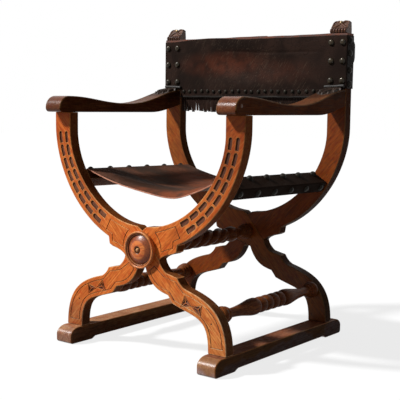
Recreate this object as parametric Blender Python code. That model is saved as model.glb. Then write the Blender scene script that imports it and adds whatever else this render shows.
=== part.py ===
"""Throne chair: two lapped cross frames on runners, dished arms, a leather sling seat and a leather back.

Metres, +Z up, +Y to the back. Left and right are as seen from the front, so +X is right.
The origin is on the floor, at the middle of the chair's length and width.
"""

import math

import bmesh
import bpy
from mathutils import Matrix, Vector
from mathutils.geometry import interpolate_bezier

# Overall sizes
FRAME_SPACING = 0.4965  # front face of the front frame to front face of the rear frame
FRAME_THICKNESS = 0.033
HALF_SPAN = 0.3365  # middle of the chair to the outer face of an upright
FOOT_HALF_SPAN = 0.2885  # middle of the chair to the outer face of a leg's foot
CROSS_HEIGHT = 0.295  # floor to the centre of the crossing
ARM_HEIGHT = 0.662  # floor to the underside of an arm
SEAT_HEIGHT = 0.489  # floor to the inner top corner of a seat rail at its rear end

# Clearance of pieces that touch
GAP = 0.0003

# Cross frame members: places at the crossing are measured outwards and upwards from its centre
UPRIGHT_WIDTH = 0.060
LEG_WIDTH = 0.059
OUTER_BEND_DROP = 0.037  # arm underside down to where the outer edge starts to bend
INNER_BEND_DROP = 0.050
LIMB_STEP_NOSE = (0.1246, 0.0242)
LIMB_STEP_FOOT = (0.121, 0.004)
LIMB_STEP_HEEL = (0.109, -0.002)
SIDE_VALLEY = (0.062, -0.0225)
LEG_SHELF_HEEL = (0.086, -0.055)
LEG_SHELF_NOSE = (0.120, -0.062)
LEG_STEP_FOOT = (0.138, -0.081)
NOTCH_FLOOR = 0.052
NOTCH_MOUTH = (0.0165, 0.0625)
CROTCH = (0.012, -0.047)
INNER_STEP_NOSE = (0.093, -0.114)
INNER_STEP_FOOT = (0.109, -0.134)
LIMB_OUTER_PULL = (0.141, 0.061)  # curve handle at the limb's step nose
LIMB_INNER_PULL = (0.145, 0.004)
LEG_OUTER_PULL = (0.096, -0.019)
LEG_INNER_PULL = (0.080, -0.030)
CROTCH_PULL = (0.022, -0.057)
INNER_STEP_PULL = (-0.023, 0.006)
OUTER_BEND_PULL = 0.35  # share of the drop that an upright's curve handle takes
INNER_BEND_PULL = 0.45
LEG_OUTER_FOOT_PULL = 0.66
LEG_INNER_FOOT_PULL = 0.86
CURVE_STEPS = 9
MITRE_LIMIT = 0.5

# Carved finials on the posts
FINIAL_HEIGHT = 0.037
FINIAL_INSET = 0.003
PETAL_BULGE = 0.004
PETAL_HEIGHT = 0.014
FINIAL_CREST = 0.014  # depth of the level top, from the back of the post
FINIAL_EASE = 0.004  # rounding at the back of the crest
FINIAL_SLOPE_FOOT = 0.003  # foot of the slope behind and above the petals
PETAL_TAPER = (0.7, 0.4)  # share of the bulge at the petals' top and foot

# Arms
ARM_WIDTH = 0.062
ARM_OVERHANG = 0.040  # nose of an arm in front of the front frame
ARM_NOSE = 0.046  # height of the round nose
ARM_WAIST = 0.027
ARM_WAIST_PLACE = 0.245  # behind the front face of the front frame
ARM_HEEL_LOW = 0.0245  # arm underside up to the lower edge at the rear post
ARM_HEEL_HIGH = 0.073
ARM_LIFT_PLACE = 0.352  # where the underside leaves the level
ARM_NOSE_PULL = 0.40  # curve handles, as shares of their stretch
ARM_WAIST_PULL = 0.45
ARM_HEEL_PULL = 0.35
ARM_HEEL_SLOPE = (0.006, 0.010)  # fall of the heel's curve handles, above and below
ARM_NOSE_STEPS = 8
PLUG_RADIUS = 0.005
PLUG_DEPTH = 0.012
PLUG_PROUD = 0.001
PLUG_CROWN = 0.7

# Runners
RUNNER_WIDTH = 0.060
RUNNER_HEIGHT = 0.046
RUNNER_NOSE = 0.041  # runner in front of the front frame
RUNNER_TAIL = 0.0575  # runner behind the rear frame
RUNNER_ROUND = (0.034, 0.024)  # length and height of the rounded top end
PAD_LENGTH = 0.082
PAD_STEP = (0.015, 0.007)

# Tenons
ARM_TENON = (0.034, 0.014, 0.024)  # along X, along Y, height above the shoulder
FOOT_TENON = (0.036, 0.016, 0.026)
POST_TENON = (0.034, 0.016, 0.026)  # arm into post: along X, length, height
RAIL_TENON = (0.030, 0.014, 0.015)  # across the board, through it, length
TENON_ROOT = 0.008  # depth of a tenon inside its own piece
ROUND_TENON_RADIUS = 0.010
ROUND_TENON_LENGTH = 0.018
CROSS_TENON_RADIUS = 0.011

# Turned stretchers
STRETCHER_SIDES = 12
SIDE_STRETCHER_INSET = 0.0265  # axis inside the leg's outer edge
SIDE_STRETCHER_HEIGHT = 0.1415
# Boss at the end of a stretcher: distance from the shoulder and radius, down to the neck
BOSS_TURNING = (
    (0.000, 0.0215),
    (0.010, 0.0245),
    (0.020, 0.0200),
    (0.023, 0.0220),
    (0.029, 0.0170),
    (0.031, 0.0190),
    (0.036, 0.0170),
    (0.040, 0.0125),
)
# Vases: share of the run to the neck, and radius
SIDE_VASE = ((0.07, 0.0225), (0.17, 0.0235), (0.42, 0.0195), (0.72, 0.0145))
CENTRE_VASE = ((0.08, 0.0165), (0.20, 0.0205), (0.45, 0.0235), (0.80, 0.0145))
BEAD_RADIUS = 0.0220
BEAD_GROOVE = 0.0035
BEAD_SHOULDER = 0.006  # along the axis from a groove
BEAD_ROUND = 0.001
BEAD_COUNT = 4
BEAD_PITCH = 0.030
TWIST_HALF_LENGTH = 0.112
TWIST_RADIUS = 0.0215
TWIST_DEPTH = 0.0022
TWIST_STRANDS = 3
TWIST_TURNS = 1.7
TWIST_RINGS = 24
TWIST_FADE = 8  # how soon the strands reach their full depth

# Front rosette and its pin
# Distance in front of the frame and radius, from the back edge over rim, groove and dome to the middle
ROSETTE_TURNING = (
    (GAP, 0.048),
    (0.0140, 0.050),
    (0.0180, 0.047),
    (0.0180, 0.042),
    (0.0130, 0.040),
    (0.0130, 0.038),
    (0.0170, 0.031),
    (0.0200, 0.022),
    (0.0185, 0.019),
    (0.0190, 0.0105),
    (0.0210, 0.0085),
)
ROSETTE_SIDES = 28
PIN_RADIUS = 0.0045
PIN_HEAD_RADIUS = 0.0075
PIN_HEAD_HEIGHT = 0.004
PIN_CROWN = ((0.5, 0.9), (1.0, 0.4))  # shares of the head's height and radius
PIN_DEPTH = 0.016  # length of the pin inside the stretcher's tenon

# Seat
RAIL_WIDTH = 0.048
RAIL_DEPTH = 0.029
RAIL_TILT = math.radians(32)
RAIL_RISE = 0.008  # front end of a rail above its rear end
RAIL_INSET = 0.001  # rail corner inside the limb's edge
SEAT_LEATHER = 0.004
SEAT_SAG_FRONT = 0.061
SEAT_SAG_BODY = 0.045
SEAT_LIP = 0.070  # depth of the drooping front lip
SEAT_SKEW = 0.30  # pulls the lowest place to one side
SEAT_MARGIN = 0.003  # seat leather to the faces of the cross frames
SLING_STEPS = 16
SEAT_ROWS = 9
ROW_CROWDING = 1.4  # rows lie closer at the front lip
WRAP_STEPS = 3

# Back
BACK_LEATHER = 0.003
BACK_DROP = 0.155  # height of the leather on a post
BACK_CLEARANCE = 0.003  # leather above the heel of an arm
BACK_SKIRT = 0.027  # further drop of the leather between the arms
SKIRT_MARGIN = 0.004  # skirt to the inner face of an arm
BACK_BELLY = 0.008
FLAP_REACH = 0.010
FLAP_TOP = 0.020  # leather top down to the loose flap
FLAP_HEIGHT = 0.060
FLAP_NECK = 0.001
FLAP_CURL = 0.2
FLAP_CORNERS = (0.015, 0.010)  # how far the flap's lower and upper corners are cut back
BACK_STEPS = 12
BACK_ROWS = 6
BAND_THICKNESS = 0.0025
BAND_HEIGHT = 0.0245
FRINGE_THICKNESS = 0.0025
FRINGE_STRIP = 0.016  # height of the uncut strip behind the leather
THONG_LENGTH = 0.045
THONG_RAGGED = 0.14  # share of the length by which thongs differ
THONG_WAVE = 2.4
THONG_PITCH = 0.0135
THONG_SLIT = 0.0035

# Domed nails
NAIL_RADIUS = 0.0095
NAIL_HEIGHT = 0.006
NAIL_SHOULDER = (0.65, 0.75)  # shares of the head's height and radius
NAIL_SHANK_RADIUS = 0.0016
NAIL_SHANK_LENGTH = 0.016
NAIL_SIDES = 8
BACK_NAIL_OUTER = 0.012  # from the outer face of a post
BACK_NAIL_INNER = 0.010  # from the inner face of a post
BACK_NAIL_ROWS = (0.023, 0.076, 0.132)  # from the top of the leather
SEAT_NAILS = 6
SEAT_NAIL_INSET = 0.027  # first and last nail from the ends of a rail
TOP_NAIL_PLACE = 0.013  # from the inner corner of a rail
OUTER_NAIL_PLACE = 0.011  # from the outer corner of a rail

# Places worked out from the sizes above
RUNNER_LENGTH = RUNNER_NOSE + FRAME_SPACING + FRAME_THICKNESS + RUNNER_TAIL
FRONT_FACE = -RUNNER_LENGTH / 2 + RUNNER_NOSE
FRONT_BACK = FRONT_FACE + FRAME_THICKNESS
REAR_FACE = FRONT_FACE + FRAME_SPACING
REAR_BACK = REAR_FACE + FRAME_THICKNESS
INNER_SPAN = HALF_SPAN - UPRIGHT_WIDTH
ARM_INNER = HALF_SPAN - ARM_WIDTH
SKIRT_END = ARM_INNER - SKIRT_MARGIN
FREE_END = min(SKIRT_END, INNER_SPAN) - GAP  # half the width of what hangs between the posts
POST_FOOT = ARM_HEIGHT + ARM_HEEL_HIGH + BACK_CLEARANCE  # lower edge of the back leather on a post
POST_HEIGHT = POST_FOOT + BACK_DROP  # floor to the foot of a finial
SEAT_SURFACE = GAP + SEAT_LEATHER  # outside of the seat leather from its rail
BACK_SURFACE = GAP + BACK_LEATHER
BOSS_LENGTH, NECK_RADIUS = BOSS_TURNING[-1]
PIN_SEAT = ROSETTE_TURNING[-1][0]

# Finishes: colour, roughness and metallic share
OAK = ((0.31, 0.12, 0.035, 1.0), 0.45, 0.0)
DARK_OAK = ((0.17, 0.065, 0.022, 1.0), 0.45, 0.0)
POLISHED_OAK = ((0.30, 0.11, 0.035, 1.0), 0.35, 0.0)
SEAT_HIDE = ((0.055, 0.026, 0.016, 1.0), 0.5, 0.0)
BACK_HIDE = ((0.035, 0.020, 0.014, 1.0), 0.5, 0.0)
BRASS = ((0.22, 0.16, 0.08, 1.0), 0.4, 0.9)


def bezier(start, start_handle, end_handle, end, steps=CURVE_STEPS):
    """Points of a curve in a plane, with both ends."""
    corners = [Vector((a, b, 0.0)) for a, b in (start, start_handle, end_handle, end)]
    return [(point.x, point.y) for point in interpolate_bezier(*corners, steps)]


def at_crossing(place):
    return place[0], CROSS_HEIGHT + place[1]


def pulled(point, handle):
    return point[0] + handle[0], point[1] + handle[1]


def limb_outer_edge():
    """Outer edge of an upper limb on the +X side, from its bend down to the step nose."""
    top = (HALF_SPAN, ARM_HEIGHT - OUTER_BEND_DROP)
    nose = at_crossing(LIMB_STEP_NOSE)
    reach = OUTER_BEND_PULL * (top[1] - nose[1])
    return bezier(top, (top[0], top[1] - reach), pulled(nose, LIMB_OUTER_PULL), nose)


def limb_inner_edge():
    """Inner edge of an upper limb on the +X side, from its bend down to the notch."""
    top = (INNER_SPAN, ARM_HEIGHT - INNER_BEND_DROP)
    mouth = at_crossing(NOTCH_MOUTH)
    reach = INNER_BEND_PULL * (top[1] - mouth[1])
    return bezier(top, (top[0], top[1] - reach), pulled(mouth, LIMB_INNER_PULL), mouth)


def leg_outer_edge():
    """Outer edge of a lower leg on the +X side, from its step down to the runner."""
    start = at_crossing(LEG_STEP_FOOT)
    foot = (FOOT_HALF_SPAN, RUNNER_HEIGHT + GAP)
    reach = LEG_OUTER_FOOT_PULL * (start[1] - foot[1])
    return bezier(start, pulled(start, LEG_OUTER_PULL), (foot[0], foot[1] + reach), foot)


def leg_inner_edge():
    """Inner edge of a lower leg on the +X side, from the crotch down to the runner."""
    crotch = at_crossing(CROTCH)
    nose = at_crossing(INNER_STEP_NOSE)
    start = at_crossing(INNER_STEP_FOOT)
    foot = (FOOT_HALF_SPAN - LEG_WIDTH, RUNNER_HEIGHT + GAP)
    reach = LEG_INNER_FOOT_PULL * (start[1] - foot[1])
    upper = bezier(crotch, pulled(crotch, CROTCH_PULL), pulled(nose, INNER_STEP_PULL), nose, 6)
    lower = bezier(start, pulled(start, LEG_INNER_PULL), (foot[0], foot[1] + reach), foot)
    return upper + lower


def mirrored(points):
    return [(-x, z) for x, z in points]


def cross_outline(top):
    """Outline of the member that runs from the upper left to the lower right, anticlockwise."""
    left = [(-HALF_SPAN, top)] + mirrored(limb_outer_edge())
    left += mirrored([at_crossing(LIMB_STEP_FOOT), at_crossing(LIMB_STEP_HEEL), at_crossing(SIDE_VALLEY)])
    right = [at_crossing(SIDE_VALLEY), at_crossing(LEG_SHELF_HEEL), at_crossing(LEG_SHELF_NOSE)]
    right += leg_outer_edge()
    back_up = [at_crossing((0.0, NOTCH_FLOOR))] + mirrored(reversed(limb_inner_edge())) + [(-INNER_SPAN, top)]
    return left + leg_inner_edge() + right[::-1] + back_up


def grown(outline, by):
    """The outline moved outwards by a small distance, for the partner's side of a lap."""
    moved = []
    for index, point in enumerate(outline):
        before = Vector(outline[index - 1])
        after = Vector(outline[(index + 1) % len(outline)])
        here = Vector(point)
        first = (here - before).normalized()
        second = (after - here).normalized()
        normal = Vector((first.y + second.y, -first.x - second.x)).normalized()
        share = max(normal.dot(Vector((first.y, -first.x))), MITRE_LIMIT)
        moved.append(tuple(here + normal * by / share))
    return moved


def add_prism(mesh, outline, axis, low, high):
    """Adds a closed prism. Axis Y takes an outline in X and Z, axis X one in Y and Z."""
    rings = []
    for depth in (low, high):
        if axis == "Y":
            rings.append([mesh.verts.new((a, depth, b)) for a, b in outline])
        else:
            rings.append([mesh.verts.new((depth, a, b)) for a, b in outline])
    near, far = rings
    faces = [mesh.faces.new(near), mesh.faces.new(far[::-1])]
    for index in range(len(outline)):
        after = (index + 1) % len(outline)
        faces.append(mesh.faces.new((near[after], near[index], far[index], far[after])))
    bmesh.ops.recalc_face_normals(mesh, faces=faces)


def add_box(mesh, low, high):
    outline = [(low[0], low[2]), (high[0], low[2]), (high[0], high[2]), (low[0], high[2])]
    add_prism(mesh, outline, "Y", low[1], high[1])


def add_turning(mesh, profile, sides, place, lobe=None):
    """Adds a turned solid. The profile holds distances along the axis and radii, and ends on the axis."""
    made = []
    previous = None
    for along, radius in profile:
        if radius == 0.0:
            ring = [mesh.verts.new(place @ Vector((0.0, 0.0, along)))]
        else:
            ring = []
            for index in range(sides):
                turn = 2 * math.pi * index / sides
                reach = radius + (lobe(along, turn) if lobe else 0.0)
                point = Vector((reach * math.cos(turn), reach * math.sin(turn), along))
                ring.append(mesh.verts.new(place @ point))
        if previous is not None:
            for index in range(sides):
                after = (index + 1) % sides
                corners = [previous[index % len(previous)], previous[after % len(previous)]]
                corners += [ring[after % len(ring)], ring[index % len(ring)]]
                made.append(mesh.faces.new(list(dict.fromkeys(corners))))
        previous = ring
    bmesh.ops.recalc_face_normals(mesh, faces=made)


def add_rod(mesh, radius, low, high, sides, place):
    add_turning(mesh, [(low, 0.0), (low, radius), (high, radius), (high, 0.0)], sides, place)


def add_sheet(mesh, face, back):
    """Adds a closed sheet from two equal grids of points: its face and its back."""
    columns = len(face)
    rows = len(face[0])
    outer = [[mesh.verts.new(point) for point in column] for column in face]
    inner = [[mesh.verts.new(point) for point in column] for column in back]
    made = []
    for i in range(columns - 1):
        for j in range(rows - 1):
            made.append(mesh.faces.new((outer[i][j], outer[i + 1][j], outer[i + 1][j + 1], outer[i][j + 1])))
            made.append(mesh.faces.new((inner[i][j], inner[i][j + 1], inner[i + 1][j + 1], inner[i + 1][j])))
    for i in range(columns - 1):
        for j in (0, rows - 1):
            made.append(mesh.faces.new((outer[i][j], outer[i + 1][j], inner[i + 1][j], inner[i][j])))
    for j in range(rows - 1):
        for i in (0, columns - 1):
            made.append(mesh.faces.new((outer[i][j], outer[i][j + 1], inner[i][j + 1], inner[i][j])))
    bmesh.ops.recalc_face_normals(mesh, faces=made)


def object_from(name, mesh):
    data = bpy.data.meshes.new(name)
    mesh.to_mesh(data)
    mesh.free()
    piece = bpy.data.objects.new(name, data)
    bpy.context.scene.collection.objects.link(piece)
    return piece


def finished(piece, finish, smooth=True):
    """Gives a piece its own material and its place in the chair."""
    colour, roughness, metallic = finish
    material = bpy.data.materials.new(piece.name)
    material.use_nodes = True
    shader = material.node_tree.nodes["Principled BSDF"]
    shader.inputs["Base Color"].default_value = colour
    shader.inputs["Roughness"].default_value = roughness
    shader.inputs["Metallic"].default_value = metallic
    material.diffuse_color = colour
    piece.data.materials.clear()
    piece.data.materials.append(material)
    if smooth:
        piece.data.shade_smooth()
        piece.data.set_sharp_from_angle(angle=math.radians(35))
    piece.parent = bpy.data.objects["throne_chair"]
    return piece


def apply_shape(piece, mesh, operation, what):
    """Cuts a helper mesh out of a piece or joins it on, and hides the helper."""
    helper = object_from(f"{piece.name}_{what}", mesh)
    helper.hide_render = True
    helper.display_type = "WIRE"
    helper.parent = bpy.data.objects["throne_chair"]
    modifier = piece.modifiers.new(what, "BOOLEAN")
    modifier.operation = operation
    modifier.solver = "EXACT"
    modifier.object = helper


def along_y(x, y, z):
    """Frame whose own Z runs along the chair's +Y."""
    return Matrix.Translation((x, y, z)) @ Matrix.Rotation(-math.pi / 2, 4, "X")


def edge_at(edge, height):
    """X of an edge, given top to bottom, at a height."""
    for (x0, z0), (x1, z1) in zip(edge, edge[1:]):
        if z1 <= height <= z0:
            return x0 + (x1 - x0) * (z0 - height) / (z0 - z1)
    raise ValueError("the edge does not reach this height")


def side_stretcher_place():
    """X of the right side stretcher's axis, inside its legs."""
    return edge_at(leg_outer_edge(), SIDE_STRETCHER_HEIGHT) - SIDE_STRETCHER_INSET


def rail_corner(share):
    """Inner top corner of a seat rail on the +X side, from its rear end (0) to its front end (1)."""
    ends = []
    for height in (SEAT_HEIGHT, SEAT_HEIGHT + RAIL_RISE):
        ends.append(Vector((edge_at(limb_inner_edge(), height) + RAIL_INSET, height)))
    return ends[0].lerp(ends[1], share)


OUTWARD = Vector((math.cos(RAIL_TILT), -math.sin(RAIL_TILT)))
DOWNWARD = Vector((-math.sin(RAIL_TILT), -math.cos(RAIL_TILT)))


def rail_rectangle(share, side, margins, allowance=0.0):
    """Section of a rail, or of its tenon, with margins taken off the board's width and depth."""
    corner = rail_corner(share)
    across, through = margins
    places = []
    for a, b in ((0, 0), (1, 0), (1, 1), (0, 1)):
        width = across - allowance + a * (RAIL_WIDTH - 2 * across + 2 * allowance)
        depth = through - allowance + b * (RAIL_DEPTH - 2 * through + 2 * allowance)
        point = corner + OUTWARD * width + DOWNWARD * depth
        places.append((side * point.x, point.y))
    return places


RAIL_TENON_MARGINS = ((RAIL_WIDTH - RAIL_TENON[0]) / 2, (RAIL_DEPTH - RAIL_TENON[1]) / 2)
RAIL_ENDS = {1: FRONT_BACK + GAP, 0: REAR_FACE - GAP}  # share along the rail and the Y of that end


def rail_tenon_depths(share, root, extra):
    """Y from inside a rail to the tip of its tenon at one end."""
    end = RAIL_ENDS[share]
    way = -1 if share else 1
    return sorted((end - way * root, end + way * (RAIL_TENON[2] + extra)))


def arm_centre():
    return HALF_SPAN - ARM_WIDTH / 2


def upright_centre():
    return HALF_SPAN - UPRIGHT_WIDTH / 2


def foot_centre():
    return FOOT_HALF_SPAN - LEG_WIDTH / 2


def arm_outline():
    """Side outline of an arm in Y and Z."""
    radius = ARM_NOSE / 2
    centre = Vector((FRONT_FACE - ARM_OVERHANG + radius, ARM_HEIGHT + radius))
    nose = []
    for step in range(ARM_NOSE_STEPS + 1):
        turn = -math.pi / 2 - math.pi * step / ARM_NOSE_STEPS
        nose.append((centre.x + radius * math.cos(turn), centre.y + radius * math.sin(turn)))
    waist = (FRONT_FACE + ARM_WAIST_PLACE, ARM_HEIGHT + ARM_WAIST)
    brow = nose[-1]
    run = waist[0] - brow[0]
    brow_handle = (brow[0] + ARM_NOSE_PULL * run, brow[1])
    front_top = bezier(brow, brow_handle, (waist[0] - ARM_WAIST_PULL * run, waist[1]), waist)
    heel_y = REAR_FACE - GAP
    high = (heel_y, ARM_HEIGHT + ARM_HEEL_HIGH)
    back = heel_y - waist[0]
    high_handle = (high[0] - ARM_HEEL_PULL * back, high[1] - ARM_HEEL_SLOPE[0])
    rear_top = bezier(waist, (waist[0] + ARM_WAIST_PULL * back, waist[1]), high_handle, high)
    lift = (FRONT_FACE + ARM_LIFT_PLACE, ARM_HEIGHT)
    low = (heel_y, ARM_HEIGHT + ARM_HEEL_LOW)
    rise = heel_y - lift[0]
    low_handle = (low[0] - ARM_HEEL_PULL * rise, low[1] - ARM_HEEL_SLOPE[1])
    under = bezier(low, low_handle, (lift[0] + ARM_NOSE_PULL * rise, lift[1]), lift, 6)
    return nose + front_top[1:] + rear_top[1:] + under


def post_tenon_box(side, allowance, root):
    """Tenon at the rear end of an arm, or its mortise in the post."""
    width, length, height = POST_TENON
    middle = ARM_HEIGHT + (ARM_HEEL_LOW + ARM_HEEL_HIGH) / 2
    x = side * arm_centre()
    low = (x - width / 2 - allowance, REAR_FACE - root, middle - height / 2 - allowance)
    high = (x + width / 2 + allowance, REAR_FACE + length + allowance, middle + height / 2 + allowance)
    return low, high


def arm_tenon_box(side, allowance, root):
    """Tenon on top of a front upright, or its mortise in the arm."""
    width, depth, height = ARM_TENON
    x = side * upright_centre()
    y = FRONT_FACE + FRAME_THICKNESS / 2
    low = (x - width / 2 - allowance, y - depth / 2 - allowance, ARM_HEIGHT - root)
    high = (x + width / 2 + allowance, y + depth / 2 + allowance, ARM_HEIGHT + height + allowance)
    return low, high


def foot_tenon_box(side, face, allowance, root):
    """Tenon under a leg, or its mortise in the runner."""
    width, depth, height = FOOT_TENON
    x = side * foot_centre()
    y = face + FRAME_THICKNESS / 2
    low = (x - width / 2 - allowance, y - depth / 2 - allowance, RUNNER_HEIGHT - height - allowance)
    high = (x + width / 2 + allowance, y + depth / 2 + allowance, RUNNER_HEIGHT + root)
    return low, high


def add_finial(mesh, side):
    """The carved head of a post: petals at the front foot, a slope above them and a level crest."""
    crest = POST_HEIGHT + FINIAL_HEIGHT
    back = REAR_BACK - FINIAL_INSET
    outline = [
        (back, POST_HEIGHT - TENON_ROOT),
        (back, crest - FINIAL_EASE),
        (back - FINIAL_EASE, crest),
        (REAR_BACK - FINIAL_CREST, crest),
        (REAR_FACE + FINIAL_SLOPE_FOOT, POST_HEIGHT + PETAL_HEIGHT + FINIAL_SLOPE_FOOT),
        (REAR_FACE - PETAL_BULGE * PETAL_TAPER[0], POST_HEIGHT + PETAL_HEIGHT),
        (REAR_FACE - PETAL_BULGE, POST_HEIGHT + PETAL_HEIGHT / 2),
        (REAR_FACE - PETAL_BULGE * PETAL_TAPER[1], POST_HEIGHT + BACK_SURFACE),
        (REAR_FACE + FINIAL_INSET, POST_HEIGHT + BACK_SURFACE),
        (REAR_FACE + FINIAL_INSET, POST_HEIGHT - TENON_ROOT),
    ]
    limits = sorted((side * (INNER_SPAN + FINIAL_INSET), side * (HALF_SPAN - FINIAL_INSET)))
    add_prism(mesh, outline, "X", *limits)


def nail_places(side):
    """Name, place and outward direction of every large nail on one side of the chair."""
    word = "right" if side > 0 else "left"
    places = []
    for row, drop in enumerate(BACK_NAIL_ROWS):
        for column, x in enumerate((HALF_SPAN - BACK_NAIL_OUTER, INNER_SPAN + BACK_NAIL_INNER)):
            place = Vector((side * x, REAR_FACE - BACK_SURFACE, POST_HEIGHT - drop))
            number = 2 * row + column + 1
            places.append((f"{word}_back_nail_{number}", place, Vector((0.0, -1.0, 0.0))))
    rear_y = RAIL_ENDS[0] - SEAT_NAIL_INSET
    front_y = RAIL_ENDS[1] + SEAT_NAIL_INSET
    length = RAIL_ENDS[0] - RAIL_ENDS[1]
    ends = [Vector((side * rail_corner(s).x, RAIL_ENDS[s], rail_corner(s).y)) for s in (0, 1)]
    run = (ends[0] - ends[1]).normalized()
    across = Vector((side * OUTWARD.x, 0.0, OUTWARD.y))
    down = Vector((side * DOWNWARD.x, 0.0, DOWNWARD.y))
    top_normal = across.cross(run).normalized()
    top_normal *= math.copysign(1.0, top_normal.z)
    outer_normal = run.cross(down).normalized()
    outer_normal *= math.copysign(1.0, outer_normal.dot(across))
    for number in range(SEAT_NAILS):
        y = front_y + (rear_y - front_y) * number / (SEAT_NAILS - 1)
        share = (RAIL_ENDS[0] - y) / length
        corner = ends[0].lerp(ends[1], share)
        top = corner + across * TOP_NAIL_PLACE + top_normal * SEAT_SURFACE
        outer = corner + across * RAIL_WIDTH + down * OUTER_NAIL_PLACE + outer_normal * SEAT_SURFACE
        places.append((f"{word}_seat_top_nail_{number + 1}", top, top_normal))
        places.append((f"{word}_seat_side_nail_{number + 1}", outer, outer_normal))
    return places


def nail_frame(place, normal, lift=0.0):
    return Matrix.Translation(place + normal * lift) @ normal.to_track_quat("Z", "Y").to_matrix().to_4x4()


def add_nail_holes(mesh, places):
    """Holes for the shanks of nails, past the leather and into the wood."""
    for _, place, normal in places:
        depth = NAIL_SHANK_LENGTH + 2 * GAP
        add_rod(mesh, NAIL_SHANK_RADIUS + GAP, -depth, NAIL_HEIGHT, NAIL_SIDES, nail_frame(place, normal))


def seat_nails(side):
    return [nail for nail in nail_places(side) if "seat" in nail[0]]


def back_nails(side):
    return [nail for nail in nail_places(side) if "back" in nail[0]]


def stretcher_ends(profile, length, tenon_radius, tenon_length):
    """Adds bosses, necks and tenons to the middle profile of a stretcher, on both sides."""
    half = length / 2
    end = [(half - inset, radius) for inset, radius in reversed(BOSS_TURNING)]
    end += [(half, tenon_radius), (half + tenon_length, tenon_radius), (half + tenon_length, 0.0)]
    front = [(-along, radius) for along, radius in reversed(end)]
    return front + profile + end


def vase(start, length, turning):
    """One vase between the middle of a stretcher and its neck."""
    run = length / 2 - BOSS_LENGTH - start
    return [(start + share * run, radius) for share, radius in turning]


def side_stretcher_profile(length):
    """Beads in the middle, then a vase on each side."""
    half = []
    for bead in range(BEAD_COUNT // 2):
        start = bead * BEAD_PITCH
        end = start + BEAD_PITCH
        half.append((start + BEAD_SHOULDER, BEAD_RADIUS - BEAD_ROUND))
        half.append((start + BEAD_PITCH / 2, BEAD_RADIUS))
        half.append((end - BEAD_SHOULDER, BEAD_RADIUS - BEAD_ROUND))
        half.append((end, BEAD_RADIUS - BEAD_GROOVE))
    half += vase(half[-1][0], length, SIDE_VASE)
    front = [(-along, radius) for along, radius in reversed(half)]
    return front + [(0.0, BEAD_RADIUS - BEAD_GROOVE)] + half


def centre_stretcher_profile(length):
    """A rope twist in the middle, then a vase on each side."""
    middle = []
    for ring in range(TWIST_RINGS + 1):
        along = TWIST_HALF_LENGTH * (2 * ring / TWIST_RINGS - 1)
        middle.append((along, TWIST_RADIUS))
    tail = vase(TWIST_HALF_LENGTH, length, CENTRE_VASE)
    front = [(-along, radius) for along, radius in reversed(tail)]
    return front + middle + tail


def twist_lobe(along, turn):
    """Rise and fall of the rope strands round the centre stretcher, fading at the ends of the twist."""
    share = abs(along) / TWIST_HALF_LENGTH
    if share > 1.0:
        return 0.0
    fade = min(1.0, (1.0 - share) * TWIST_FADE)
    phase = TWIST_STRANDS * turn - TWIST_STRANDS * math.pi * TWIST_TURNS * along / TWIST_HALF_LENGTH
    return TWIST_DEPTH * fade * math.cos(phase)


STRETCHER_LENGTH = FRAME_SPACING - FRAME_THICKNESS - 2 * GAP
STRETCHER_MIDDLE = (FRONT_BACK + REAR_FACE) / 2
CROSS_TENON_LENGTH = FRAME_THICKNESS - GAP


def make_cross_leg(place, side, face, top, foreground):
    """One member of a cross frame. Its upper end is on the given side and its foot on the other."""
    word = "right" if side > 0 else "left"
    flip = -side
    own = [(flip * x, z) for x, z in cross_outline(top)]
    other = [(-flip * x, z) for x, z in grown(cross_outline(top), GAP)]
    mesh = bmesh.new()
    add_prism(mesh, own, "Y", face, face + FRAME_THICKNESS)
    piece = object_from(f"{place}_cross_leg_{word}", mesh)

    tenons = bmesh.new()
    add_box(tenons, *foot_tenon_box(-side, face, 0.0, TENON_ROOT))
    if place == "front":
        add_box(tenons, *arm_tenon_box(side, 0.0, TENON_ROOT))
    else:
        add_finial(tenons, side)
    apply_shape(piece, tenons, "UNION", "tenons")

    cuts = bmesh.new()
    middle = face + FRAME_THICKNESS / 2
    if foreground:
        add_prism(cuts, other, "Y", middle - GAP / 2, face + 2 * FRAME_THICKNESS)
    else:
        add_prism(cuts, other, "Y", face - FRAME_THICKNESS, middle + GAP / 2)
    apply_shape(piece, cuts, "DIFFERENCE", "lap")

    holes = bmesh.new()
    add_rod(holes, CROSS_TENON_RADIUS + GAP, -FRAME_THICKNESS, 2 * FRAME_THICKNESS, STRETCHER_SIDES,
            along_y(0.0, face, CROSS_HEIGHT))
    inside = face + FRAME_THICKNESS if place == "front" else face
    reach = ROUND_TENON_LENGTH + GAP
    limits = (-reach, FRAME_THICKNESS) if place == "front" else (-FRAME_THICKNESS, reach)
    add_rod(holes, ROUND_TENON_RADIUS + GAP, *limits, STRETCHER_SIDES,
            along_y(-side * side_stretcher_place(), inside, SIDE_STRETCHER_HEIGHT))
    share = 1 if place == "front" else 0
    mortise = rail_rectangle(share, side, RAIL_TENON_MARGINS, GAP)
    add_prism(holes, mortise, "Y", *rail_tenon_depths(share, TENON_ROOT, GAP))
    if place == "rear":
        add_box(holes, *post_tenon_box(side, GAP, TENON_ROOT))
        add_nail_holes(holes, back_nails(side))
    apply_shape(piece, holes, "DIFFERENCE", "mortises")
    finished(piece, OAK)


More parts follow.
